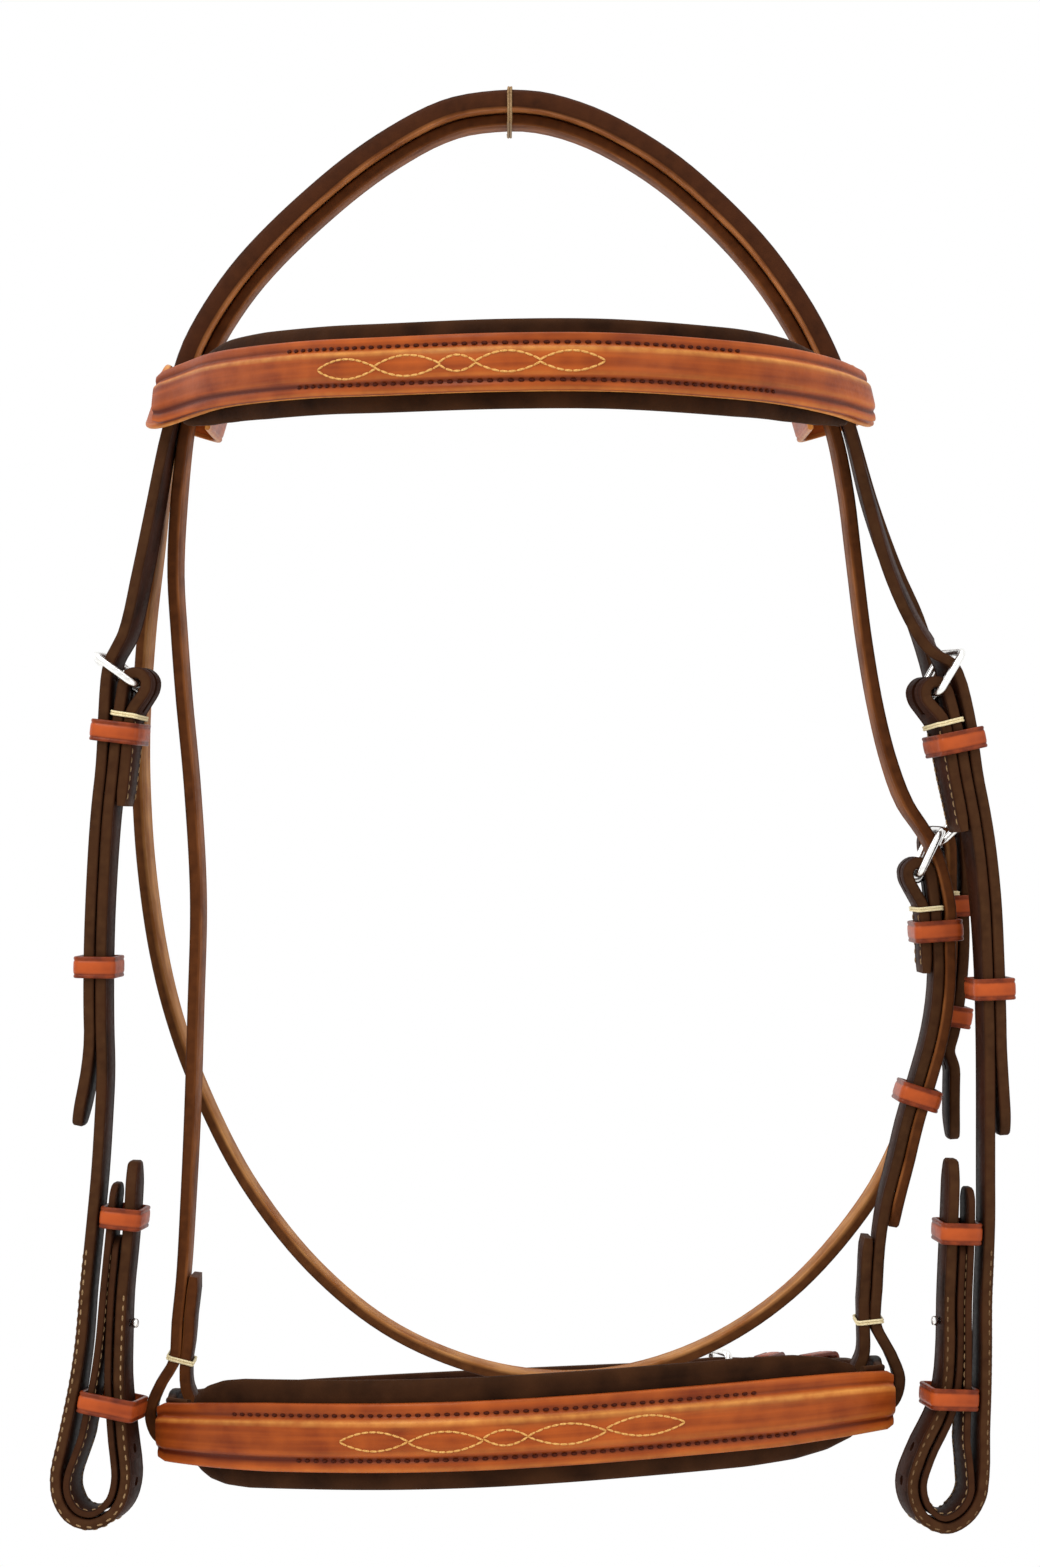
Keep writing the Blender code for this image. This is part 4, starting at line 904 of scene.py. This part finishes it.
def edge_seams(name, path, s0, s1, lift):
    """Seams near both edges of a strap of the bridle, on the face on the side of the lift."""
    spots = []
    lift += strap_stitch_lift
    for edge in (1, -1):
        for s in np.arange(s0 + strap_pitch / 2, s1, strap_pitch):
            point, run, across, up = station(path, s)
            spot = point + across * (edge * (strap_width / 2 - edge_inset)) + up * lift
            spots.append((spot, run, up * math.copysign(1.0, lift)))
    return stitched(name, spots, strap_stitch, "brown", "bridle")


def eye(made, leaving, returning):
    """Rows of a strap that folds round a buckle's bar, between the rows that it leaves and joins."""
    around = wire_thickness / 2 + eye_gap + made["thickness"] / 2
    top = unit(made["bar"] - (leaving[:3] + returning[:3]) / 2)
    top = unit(top - made["across"] * made["across"].dot(top))
    level = np.cross(made["across"], top)
    level = level * np.sign(level.dot(leaving[:3] - returning[:3]))
    rows = []
    for angle in eye_angles:
        turn = math.radians(angle)
        point = made["bar"] + around * (level * math.cos(turn) + top * math.sin(turn))
        rows.append(np.concatenate([point, made["across"]]))
    return rows


def folded(turned, rows, offset, length):
    """Run of a strap with the turn at its end, the length at its neck, and the end folded back beside it."""
    run = smooth(turned + rows)
    neck = run[1][len(turned) * fine_count]
    return run, neck, beside(run, neck, neck + length, 5, offset)[::-1]


def window(made):
    """Row of the buckle's window where the billet goes through."""
    near = wire_thickness / 2 + eye_gap + made["thickness"]
    far = buckle_reach - wire_thickness / 2
    spot = made["bar"] + made["reach"] * (near + (far - near) * window_share)
    return np.concatenate([spot, made["across"]])


def led_round(made, rows, offset, length, after=(), tail=()):
    """Strap led round a buckle's bar and folded back: its run, the length at its neck, and all of it."""
    leaving = beside(smooth(rows), 0.0, length, 2, offset)[0]
    turned = eye(made, leaving, rows[0])
    run, neck, back = folded(turned, rows + list(after), offset, length)
    return run, neck, smooth(back + turned + rows + list(after) + list(tail))


def billet_strap(node, rows, made, count, look="strap", width=strap_width):
    """Pointed strap through a buckle, with room for the tongue and a count of round holes."""
    path, thickness = smooth(rows), made["thickness"]
    piece = strap(node, path, look, (0.0, billet_point), width, thickness)
    holes = [length_of(path) - billet_point - hole_pitch * k for k in range(1, count + 1)]
    opened(piece, [made["hole"]] + punched(path, holes, thickness))
    return path


def layer(path, first=0.0, last=1.0):
    """Strap of a stack, between two shares of its length."""
    return path, strap_thickness, strap_width, first * length_of(path), last * length_of(path)


def fold_seams(name, path, neck, length, side):
    """Edge seams of the end that is folded back at a buckle, on the side where it lies."""
    start, stop = neck + fold_seam_inset, neck + length - fold_seam_inset
    edge_seams(name, path, start, stop, side * (layer_step + strap_thickness / 2))


def fittings(name, path, neck, spots, stack):
    """Whip stitch, fixed keeper and sliding keeper of a buckle, the keepers at lengths along its strap."""
    thread(f"{name}_whip", path, neck + thread_thickness, stack[:1])
    for kind, s, play in zip(("fixed", "sliding"), spots, (keeper_play, loose_play)):
        keeper(f"{name}_keeper_{kind}", path, s, stack, play)


def at_px(path, x_px):
    """Length along a path where the front view sees it at a column."""
    rows, lengths = path
    scale = pixel * (view_distance + rows[:, 1]) / view_distance
    columns = middle_px + rows[:, 0] / scale
    return float(lengths[int(np.argmin(abs(columns - x_px)))])


def face_strap(node, path, height, thickness, tips=(0.0, 0.0)):
    """Raised face of a band: a rim, a stitched groove and a domed panel, over a flat back."""
    half, rise = height / 2, thickness / 2
    # Upper half takes the upper wear column and lower half the lower one: painted highlight above, painted
    # shade in the grooves and at the lower edge
    points = [(-half * v, -rise * t, low) for v, t, _, low in FACE]
    points += [(half * v, -rise * t, high) for v, t, high, _ in FACE[::-1][1:]]
    points += [(half * 0.95, rise, 0.6), (0.0, rise, 0.0), (-half * 0.95, rise, 0.6)]
    rings = []
    total = length_of(path)
    for s in stations(path, face_reach):
        point, run, across, up = station(path, s)
        ends = min(1.0, face_end_least + face_end_gain * min(s, total - s) / tip_wear)
        wide = narrowed(s, total, tips, face_shares) * (face_wide_least + face_wide_gain * ends)
        # Darker toward the face's first end
        dark = first_end_darkening * max(0.0, 1 - s / first_end_darkening_length)
        rings.append([
            (point + across * v * wide + up * t * ends, (s, v, t), wear_and_painted_light - dark) for v, t, wear_and_painted_light in points
        ])
    return swept(node, "raised", rings, "tan")


def face_lift(share, thickness):
    """Height of the face's front over its middle, at a share of its half height."""
    shares, rises = zip(*(row[:2] for row in FACE[::-1]))
    return float(np.interp(abs(share), shares, rises)) * thickness / 2


def face_seams(name, path, height, thickness, rows, lenses):
    """Dark seams in the grooves of a face, and cream seams that cross from lens to lens on its panel."""
    spots = []
    for share, first, last in rows:
        for s in np.arange(at_px(path, first), at_px(path, last), seam_pitch):
            point, run, across, up = station(path, s)
            lift = face_lift(share, thickness) + thread_size / 5
            spots.append((point + across * share * height / 2 - up * lift, run, -up))
    stitched(name + "_seams", spots, dark_stitch, "dark", name)
    spots = []
    for first, last, tall, lean in lenses:
        s0, s1 = at_px(path, first), at_px(path, last)
        count = max(int(round((s1 - s0) / lens_pitch)), 4)
        for sign in (1, -1):
            line = []
            for k in range(2 * count + 1):
                share = k / (2 * count)
                point, run, across, up = station(path, s0 + (s1 - s0) * share)
                v = sign * tall * math.sin(math.pi * share) ** lens_power + lean
                lift = face_lift(v / (height / 2), thickness) + thread_size / 6
                line.append((point + across * v - up * lift, -up))
            for k in range(count):
                (a, _), (middle, out), (b, _) = line[2 * k:2 * k + 3]
                spots.append((middle, unit(b - a), out, float(np.linalg.norm(b - a)) * lens_cover))
    beads(name + "_lenses", spots, thread_size, "cream", name)


def narrowed(s, total, tips, shares):
    """Share of a piece's full height at a length along it, where it tapers toward its ends."""
    fars, widths = zip(*shares)
    share = 1.0
    for gone, tip in ((s, tips[0]), (total - s, tips[1])):
        if tip:
            share *= float(np.interp(gone / tip, fars, widths))
    return share


def pad_strap(node, path, height, thickness, tips):
    """Padded lining: crowned on both faces, thin at its rim and drawn in toward its ends."""
    total = length_of(path)
    rings = []
    marks = list(np.linspace(pad_edge, total - pad_edge, pad_rings))
    marks += list(pad_marks) + [total - mark for mark in pad_marks]
    for s in sorted(marks):
        point, run, across, up = station(path, s)
        gone = min(s, total - s)
        round_off = math.sqrt(max(1 - (1 - min(gone, pad_edge) / pad_edge) ** 2, 0.004))
        narrow = narrowed(s, total, tips, pad_shares) * (pad_narrow_least + pad_narrow_gain * round_off)
        ring = []
        for k in range(round_count):
            angle = 2 * math.pi * k / round_count
            v = math.copysign(abs(math.cos(angle)) ** pad_width_power, math.cos(angle)) * height / 2 * narrow
            soft = math.copysign(abs(math.sin(angle)) ** pad_crown_power, math.sin(angle))
            t = soft * thickness / 2 * (pad_least + pad_gain * round_off)
            ring.append((point + across * v + up * t, (s, v, t), 0.5 * abs(math.cos(angle)) ** 6))
        rings.append(ring)
    made = swept(node, "cushion", rings, "pad")
    return made


def stud(node, foot, axis):
    """Hook stud turned about its own axis, with a neck, a shoulder and a domed head."""
    first = unit(np.cross(axis, np.array([0.0, 1.0, 0.0])))
    second = np.cross(axis, first)
    rings = []
    for radius, height in STUD:
        ring = []
        for k in range(round_count):
            angle = 2 * math.pi * k / round_count
            spot = foot + (first * math.cos(angle) + second * math.sin(angle)) * radius + axis * height
            ring.append((spot, (0.0, 0.0, 0.0), 0.0))
        rings.append(ring)
    return swept(node, "turned", rings, "steel")


# Crownpiece over the poll
crown = smooth([np.concatenate([place(x, row, 0.0), [0.0, 1.0, 0.0]]) for x, row in crown_px])
strap("crownpiece", crown, "crown", (0.0, 0.0), crown_width, crown_thickness, WIDE, crown_round)
under = (crown_thickness + strap_thickness) / 2 + fit_gap


def eased(share, flare=tip_flare):
    """Extra room beside a stack: for the whip stitch at its top and for the hanging tip at its end."""
    room = (thread_thickness + fit_gap) * max(0.0, 1 - share / whip_share)
    return room + flare * max(0.0, share - 1 + flare_share)


def close_on(share):
    """Offset of a billet that leaves its strap only for the whip stitch."""
    return -(layer_step + (eased(share) if share < 1 - flare_share else 0.0))


def split_depth(lane):
    """Middle of a strip of the crownpiece that is cut down to a strap on the side of a lane."""
    half = (crown_width - strap_width) / 2
    return -half if lane < 0 else half


def lane_rows(table, first, shares, lane):
    """Rows of a route that leaves the crownpiece at its first two points and eases into its lane."""
    depths = [first, first] + [lane * share for share in shares]
    return strap_rows(table, depths + [lane] * (len(table) - len(depths)))


def cheek(side_name, table, billet_table, side, seam_look):
    """Cheek assembly of one side: billet of the crownpiece, buckle, cheekpiece, lining, keepers and stud."""
    depth, row_of, name = cheek_lane, cheek_rows[side_name], f"cheek_buckle_{side_name}"
    bar, end = (place(*spot, depth) for spot in buckle_px[name])
    rows = strap_rows(table, (depth, depth))
    fold, flare = (fold_length, off_tip_flare) if side > 0 else (near_fold_length, tip_flare)
    made = buckle(name, bar, end, rows[0][3:], -side)
    main, neck, whole = led_round(made, rows, -layer_step * side, fold)
    piece = strap(f"cheekpiece_{side_name}", whole, "strap", (0.0, billet_point))

    # Billet of the crownpiece, through the buckle and down the outer face
    tip_s = at_row(main, row_of["tip"], depth, neck)
    lay = beside(
        main, neck + lay_start, tip_s, billet_count, lambda share: side * (layer_step + eased(share, flare))
    )
    rows = strap_rows(billet_table, (split_depth(cheek_lane), depth)) + [window(made)] + lay
    stack = [layer(whole), layer(billet_strap(f"cheek_billet_{side_name}", rows, made, 4))]

    # Keepers of the buckle
    fixed, slide = (at_row(main, row_of[kind], depth, neck) for kind in ("fixed", "sliding"))
    keeper(f"cheek_keeper_fixed_{side_name}", main, fixed, stack, keeper_play)
    thread(f"cheek_whip_{side_name}", main, neck + thread_thickness, stack[:1])
    keeper(f"cheek_keeper_sliding_{side_name}", main, slide, stack, loose_play)
    fold_seams(f"cheek_seam_{side_name}", main, neck, fold, -side)

    # Lining of the bit loop, with the two keepers and the stud that it carries
    first = at_row(main, row_of["lining"], depth, neck)
    bottom = first + (length_of(main) - first) * bit_bottom_share
    last = at_row(main, lining_end_row, depth, bottom)
    inner = (strap_thickness + lining_thickness) / 2 + bit_gap
    room = keeper_thickness + 2 * keeper_play

    def inward(share):
        return -side * (inner + room * min(1.0, max(0.0, (bit_close_share - share) / bit_ease_share)))

    lining = smooth(beside(main, first, last, lining_count, inward))
    strap(
        f"bit_lining_{side_name}", lining, "lining", (billet_point / 2, billet_point / 2),
        thickness=lining_thickness, rounding=thin_round,
    )
    limb = [
        (lining, lining_thickness, strap_width, 0.0, length_of(lining)),
        (main, strap_thickness, strap_width, bottom, length_of(main)),
    ]
    point, run, wide, up = station(main, at_row(main, row_of["stud"], depth, bottom))
    stud(f"hook_stud_{side_name}", point - up * side * (strap_thickness / 2 + bit_gap / 4), side * up)
    punch = ("rod", pose(point, run, wide, up), (stud_neck + 2 * tongue_play, strap_thickness + overrun))
    marks = [at_row(main, row_px, depth, bottom) for row_px in hook_hole_rows]
    opened(piece, [made["slot"], punch] + punched(main, marks, strap_thickness))
    for kind in ("upper", "lower"):
        spot = at_row(lining, row_of[kind], depth)
        keeper(f"bit_keeper_{kind}_{side_name}", lining, spot, limb, 2 * keeper_play)
    start = at_row(main, bit_seam_row, depth, neck)
    edge_seams(f"bit_seam_{side_name}", main, start, bottom, side * strap_thickness / 2)
    spots = []
    for s in np.arange(start, at_row(main, edge_seam_row, depth, bottom), edge_pitch):
        point, run, wide, up = station(main, s)
        spots.append((point - wide * (strap_width / 2) + up * side * strap_thickness / 5, run, -wide))
    stitched(f"loop_edge_seam_{side_name}", spots, edge_stitch, seam_look, "bridle")
    start, stop = at_row(lining, bit_seam_row, depth), length_of(lining) - lining_seam_end
    edge_seams(f"lining_seam_{side_name}", lining, start, stop, -side * lining_thickness / 2)


cheek("off", cheek_off_px, billet_off_px, 1, "brown")
# The near side's loop seam uses the darker copy of the brown thread: painted shade
cheek("near", cheek_near_px, billet_near_px, -1, "shaded_brown")

# Throatlatch, off side of the crownpiece round to its buckle on the near side
strip = split_depth(throat_lane)
rows = lane_rows(throat_off_px, strip, throat_off_ease, throat_lane)[::-1]
bar, end = (place(*spot, throat_lane) for spot in buckle_px["throat_buckle"])
made = buckle("throat_buckle", bar, end, rows[0][3:], 1)
throat, neck, whole = led_round(made, rows, layer_step, fold_length)
opened(strap("throatlatch", whole, "throat"), [made["slot"]])
fold_seams("throat_seam", throat, neck, fold_length, 1)

lay_s = at_row(throat, throat_lay_row, throat_lane, neck)
lay = beside(throat, neck + lay_start, lay_s, throat_lay_count, close_on)
rows = lane_rows(throat_near_px, strip, throat_near_ease, throat_lane) + [window(made)]
rows += lay + strap_rows(throat_tip_px, (throat_lane, throat_lane))
stack = [layer(whole, 0.0, 1 / 3), layer(billet_strap("throat_billet", rows, made, 4))]
spots = [at_row(throat, row_px, throat_lane, neck) for row_px in throat_keeper_rows]
fittings("throat", throat, neck, spots, stack)


def ring_rows(centre, angles):
    """Rows of a hanger loop round the end of the noseband."""
    rows = []
    for angle in angles:
        turn = math.radians(angle)
        shift = np.array([ring_half_width * math.cos(turn), 0.0, ring_half_height * math.sin(turn)])
        rows.append(np.concatenate([centre + shift, [0.0, 1.0, 0.0]]))
    return rows


# Near noseband cheek, from its buckle down to its hanger loop
ring_near = place(*ring_near_px, hanger_lane)
rows = strap_rows(nose_cheek_px, (hanger_lane, hanger_lane))
bar, end = (place(*spot, hanger_lane) for spot in buckle_px["hanger_buckle"])
made = buckle("hanger_buckle", bar, end, rows[0][3:], 1)
loop = ring_rows(ring_near, ring_angles)
_, _, bottom = folded(loop, rows[::-1], -layer_step, hanger_fold)
nose_cheek, neck, whole = led_round(made, rows, layer_step, rear_fold, loop[::-1], bottom[::-1])
opened(strap("noseband_cheek_near", whole), [made["slot"]])
fold_seams("hanger_seam", nose_cheek, neck, rear_fold, 1)

# Sliphead, from the off hanger loop under the crownpiece to its billet on the near side
ring_off = place(*ring_off_px, hanger_lane)
off_rows = lane_rows(slip_off_px, 0.0, slip_off_ease, hanger_lane)[::-1]
near_rows = lane_rows(slip_near_px, 0.0, slip_near_ease, hanger_lane)
head = beside(crown, crown_start, length_of(crown) - crown_start, head_count, under)
loop = ring_rows(ring_off, ring_angles[::-1])
off_side, off_neck, bottom = folded(loop, off_rows, layer_step, hanger_fold)
tip_s = at_row(nose_cheek, hanger_tip_row, hanger_lane, neck)
lay = beside(nose_cheek, neck + lay_start, tip_s, billet_count, close_on)
rows = bottom + loop + off_rows + head + near_rows + [window(made)] + lay
slip = billet_strap("sliphead", rows, made, 3, "slip")
near_stack = [layer(whole), layer(slip, 0.5)]
spots = [at_row(nose_cheek, row_px, hanger_lane, neck) for row_px in hanger_keeper_rows]
fittings("hanger", nose_cheek, neck, spots, near_stack)
low = at_row(nose_cheek, hanger_whip_row, hanger_lane, neck)
thread("hanger_loop_whip_near", nose_cheek, low, near_stack[:1])
thread("hanger_loop_whip_off", off_side, off_neck + thread_thickness, [layer(slip, 0.0, 0.25)])
poll = [(crown, crown_thickness, crown_width, 0.0, length_of(crown)), layer(slip, 0.25, 0.75)]
thread("poll_tie_thread", crown, length_of(crown) / 2, poll, look="brown")


def band_rows(table, lane, bulge, first_up, last_up):
    """Rows of a band that bulges toward the viewer, tilted at its ends and upright between."""
    rows = []
    for i, (x_px, row_px, share) in enumerate(table):
        ends = max(0.0, 1 - i / 2), max(0.0, 1 - (len(table) - 1 - i) / 2)
        up = upright * (1 - sum(ends)) + first_up * ends[0] + last_up * ends[1]
        rows.append(np.concatenate([place(x_px, row_px, lane - bulge * share), up]))
    return rows


# Browband, whose ends fold back round the crownpiece and the sliphead
def crown_loop(spot, upward):
    """Rows of an end loop, from the stitched flap round the back to the outer side."""
    point, run, across, up = station(crown, spot)
    rise = run * upward
    stack = crown_thickness + fit_gap + strap_thickness
    half_up = (stack + browband_thickness) / 2 + browband_loop_play
    middle = point + up * (half_up - (crown_thickness + browband_thickness) / 2 - browband_seat)
    half_across = (crown_width + browband_thickness) / 2 + browband_loop_play
    flap = (1.0, -1 - browband_tab / half_across)
    rows = []
    for a, b in (flap,) + loop_shares:
        rows.append(np.concatenate([middle + up * half_up * a + across * half_across * b, rise]))
    return rows, rise


upright = np.array([0.0, 0.0, 1.0])
loop_off, rise_off = crown_loop(at_row(crown, browband_loop_row, 0.0), 1)
near_spot = at_row(crown, browband_loop_row, 0.0, length_of(crown) / 2)
loop_near, rise_near = crown_loop(near_spot, -1)
rows = band_rows(browband_px_and_share, browband_lane, browband_bulge, rise_off, rise_near)
base = smooth(loop_off + rows + loop_near[::-1])
strap("browband_base", base, "tan", (0.0, 0.0), browband_height, browband_thickness)
front = -(browband_thickness + browband_face_thickness) / 2 - band_gap
rear = (browband_thickness + browband_pad_thickness) / 2 + band_gap
start = base[1][len(loop_off) * fine_count]
stop = base[1][(len(loop_off) + len(rows) - 1) * fine_count]
face = smooth(beside(base, start + browband_face_inset, stop - browband_face_inset, face_count, front))
face_strap("browband_face", face, browband_face_height, browband_face_thickness)
face_seams("browband", face, browband_face_height, browband_face_thickness, browband_seams, browband_lenses)
pad = smooth(beside(base, start + browband_pad_inset, stop - browband_pad_inset, pad_count, rear))
pad_strap("browband_pad", pad, browband_pad_height, browband_pad_thickness, browband_pad_tips)

# Noseband front
rows = band_rows(nose_px_and_share, nose_lane, nose_bulge, upright, upright)
nose = smooth(rows)
face_strap("noseband_face", nose, nose_face_height, nose_face_thickness, (nose_face_tip, nose_face_tip))
face_seams("noseband", nose, nose_face_height, nose_face_thickness, nose_seams, nose_lenses)
rear = (nose_face_thickness + nose_pad_thickness) / 2 + band_gap
rows = beside(nose, nose_overlap, length_of(nose) - nose_overlap, pad_count, rear)
for row in rows:
    row[:3] += row[3:] * nose_pad_rise
pad = smooth(rows)
pad_strap("noseband_pad", pad, nose_pad_height, nose_pad_thickness, nose_pad_tips)

# Noseband rear straps, seated behind the ends of the face and led through the hanger loops
behind = (nose_face_thickness + rear_thickness) / 2 + band_gap
ring_drop = ring_half_height - (strap_thickness + rear_width) / 2 - ring_seat
half_span = (ring_near[0] - ring_off[0]) / 2
middle_x = (ring_near[0] + ring_off[0]) / 2


def rear_point(x_share, y_share):
    """Row of the rear straps at shares of the half span and of the reach."""
    level = (ring_off[2] + ring_near[2]) / 2 + (ring_near[2] - ring_off[2]) / 2 * x_share - ring_drop
    level -= rear_droop * y_share
    spot = np.array([middle_x + half_span * x_share, rear_reach * y_share, level])
    return np.concatenate([spot, upright])


def through_ring(centre):
    """Rows of a rear strap where it passes a hanger loop."""
    reach = np.array([0.0, strap_width / 2 + nose_tuck, 0.0])
    seated = centre - upright * ring_drop
    return [np.concatenate([seated - reach, upright]), np.concatenate([seated + reach, upright])]


off_start = beside(nose, nose_tuck, nose_overlap - nose_tuck, 2, behind)[::-1]
near_start = beside(nose, length_of(nose) - nose_overlap + nose_tuck, length_of(nose) - nose_tuck, 2, behind)
for row in off_start:
    row[2] = ring_off[2] - ring_drop
for row in near_start:
    row[2] = ring_near[2] - ring_drop
run_rows = [rear_point(*pair) for pair in rear_near_shares] + through_ring(ring_near)[::-1] + near_start[::-1]
bar = rear_point(*rear_bar_shares)[:3]
end = rear_point(*rear_end_shares)[:3]
made = buckle("rear_buckle", bar, end, upright, -1, rear_width, rear_thickness)
fold_on = rear_thickness + fit_gap
near_run, neck, whole = led_round(made, run_rows, -fold_on, rear_fold)
piece = strap("noseband_rear_near", whole, width=rear_width, thickness=rear_thickness)
opened(piece, [made["slot"]])
lay = beside(
    near_run, neck + lay_start, neck + rear_billet, rear_lay_count, lambda share: fold_on + eased(share)
)
rows = off_start + through_ring(ring_off) + [rear_point(*pair) for pair in rear_off_shares]
rows += [window(made)] + lay
billet = billet_strap("noseband_rear_off", rows, made, 2, width=rear_width)
stack = [
    (whole, rear_thickness, rear_width, 0.0, rear_fold * 3),
    (billet, rear_thickness, rear_width, length_of(billet) / 2, length_of(billet)),
]
slide = neck + rear_billet - billet_point - keeper_width
fittings("rear", near_run, neck, (neck + rear_keeper, slide), stack)


def ground(half, level, tone):
    """Broad matt floor of the studio, far below the bridle, that fades into the white about it."""
    mesh = bpy.data.meshes.new("floor")
    corners = [(-half, -half, level), (half, -half, level), (half, half, level), (-half, half, level)]
    mesh.from_pydata(corners, [], [(0, 1, 2, 3)])
    look = Look("floor_look", 0.9)
    where = look.add("TexCoord").outputs["Object"]
    shade = look.mix(look.span(look.noise(where, 3.0), 0.4, 0.6), colour(*tone), colour(255, 255, 255))
    look.join(shade, "Base Color")
    look.shader.inputs["Specular IOR Level"].default_value = 0.0
    away = look.add("VectorMath", {0: where}, operation="LENGTH").outputs["Value"]
    seen = look.add("LightPath").outputs["Is Camera Ray"]
    fade = look.sum(look.span(away, half * 0.3, half * 0.9), seen, "MULTIPLY")
    white = look.add("Emission", {"Color": (1.0, 1.0, 1.0, 1.0), "Strength": 1.0})
    look.blend(fade, look.shader, white, "Material Output")
    mesh.materials.append(look.made)
    return linked("floor", mesh)


def surroundings(level):
    """White surroundings: plain white where they are seen or mirrored, softer where they light the bridle."""
    world = bpy.data.worlds.new("studio")
    world.use_nodes = True
    nodes = Nodes(world.node_tree)
    soft = nodes.tree.nodes["Background"]
    soft.inputs["Color"].default_value = (1.0, 1.0, 1.0, 1.0)
    soft.inputs["Strength"].default_value = level
    white = nodes.add("Background", {"Color": (1.0, 1.0, 1.0, 1.0), "Strength": 1.0})
    rays = nodes.add("LightPath").outputs
    share = rays["Is Camera Ray"]
    for kind in ("Is Glossy Ray", "Is Transmission Ray"):
        share = nodes.sum(share, rays[kind], "MAXIMUM")
    nodes.blend(share, soft, white, "World Output")
    return world


def lamp(name, spot, size, energy, tint):
    """Soft rectangular lamp aimed at the bridle."""
    light = bpy.data.lights.new(name, "AREA")
    light.shape = "RECTANGLE"
    light.size, light.size_y = size
    light.energy = energy
    light.color = tint
    made = linked(name, light)
    made.location = spot
    made.rotation_euler = (Vector(aim) - Vector(spot)).to_track_quat("-Z", "Y").to_euler()


scene = bpy.context.scene
ground(1.2, -0.80, (246, 245, 242))
scene.world = surroundings(world_level)
lamp("key", (-0.9, -1.3, 0.9), (0.9, 0.9), 15.0, (1.0, 0.98, 0.95))
lamp("fill", (1.2, -1.0, 0.1), (0.8, 1.4), 4.0, (1.0, 0.99, 0.97))
lamp("top", (0.1, -0.2, 1.1), (1.2, 0.7), 7.0, (1.0, 1.0, 1.0))
lamp("rim", (-1.1, 0.6, 0.2), (0.5, 1.4), 3.0, (1.0, 1.0, 1.0))

data = bpy.data.cameras.new("camera")
data.sensor_fit = "AUTO"
data.sensor_width = sensor
data.lens = sensor * view_distance / (photo_rows * pixel)
data.clip_start, data.clip_end = 0.05, 20.0
camera = linked("camera", data)
camera.location = (0.0, -view_distance, (rest_row_px - level_row_px) * pixel)
camera.rotation_euler = (math.radians(90), 0.0, 0.0)
scene.camera = camera

scene.view_settings.view_transform = "Standard"
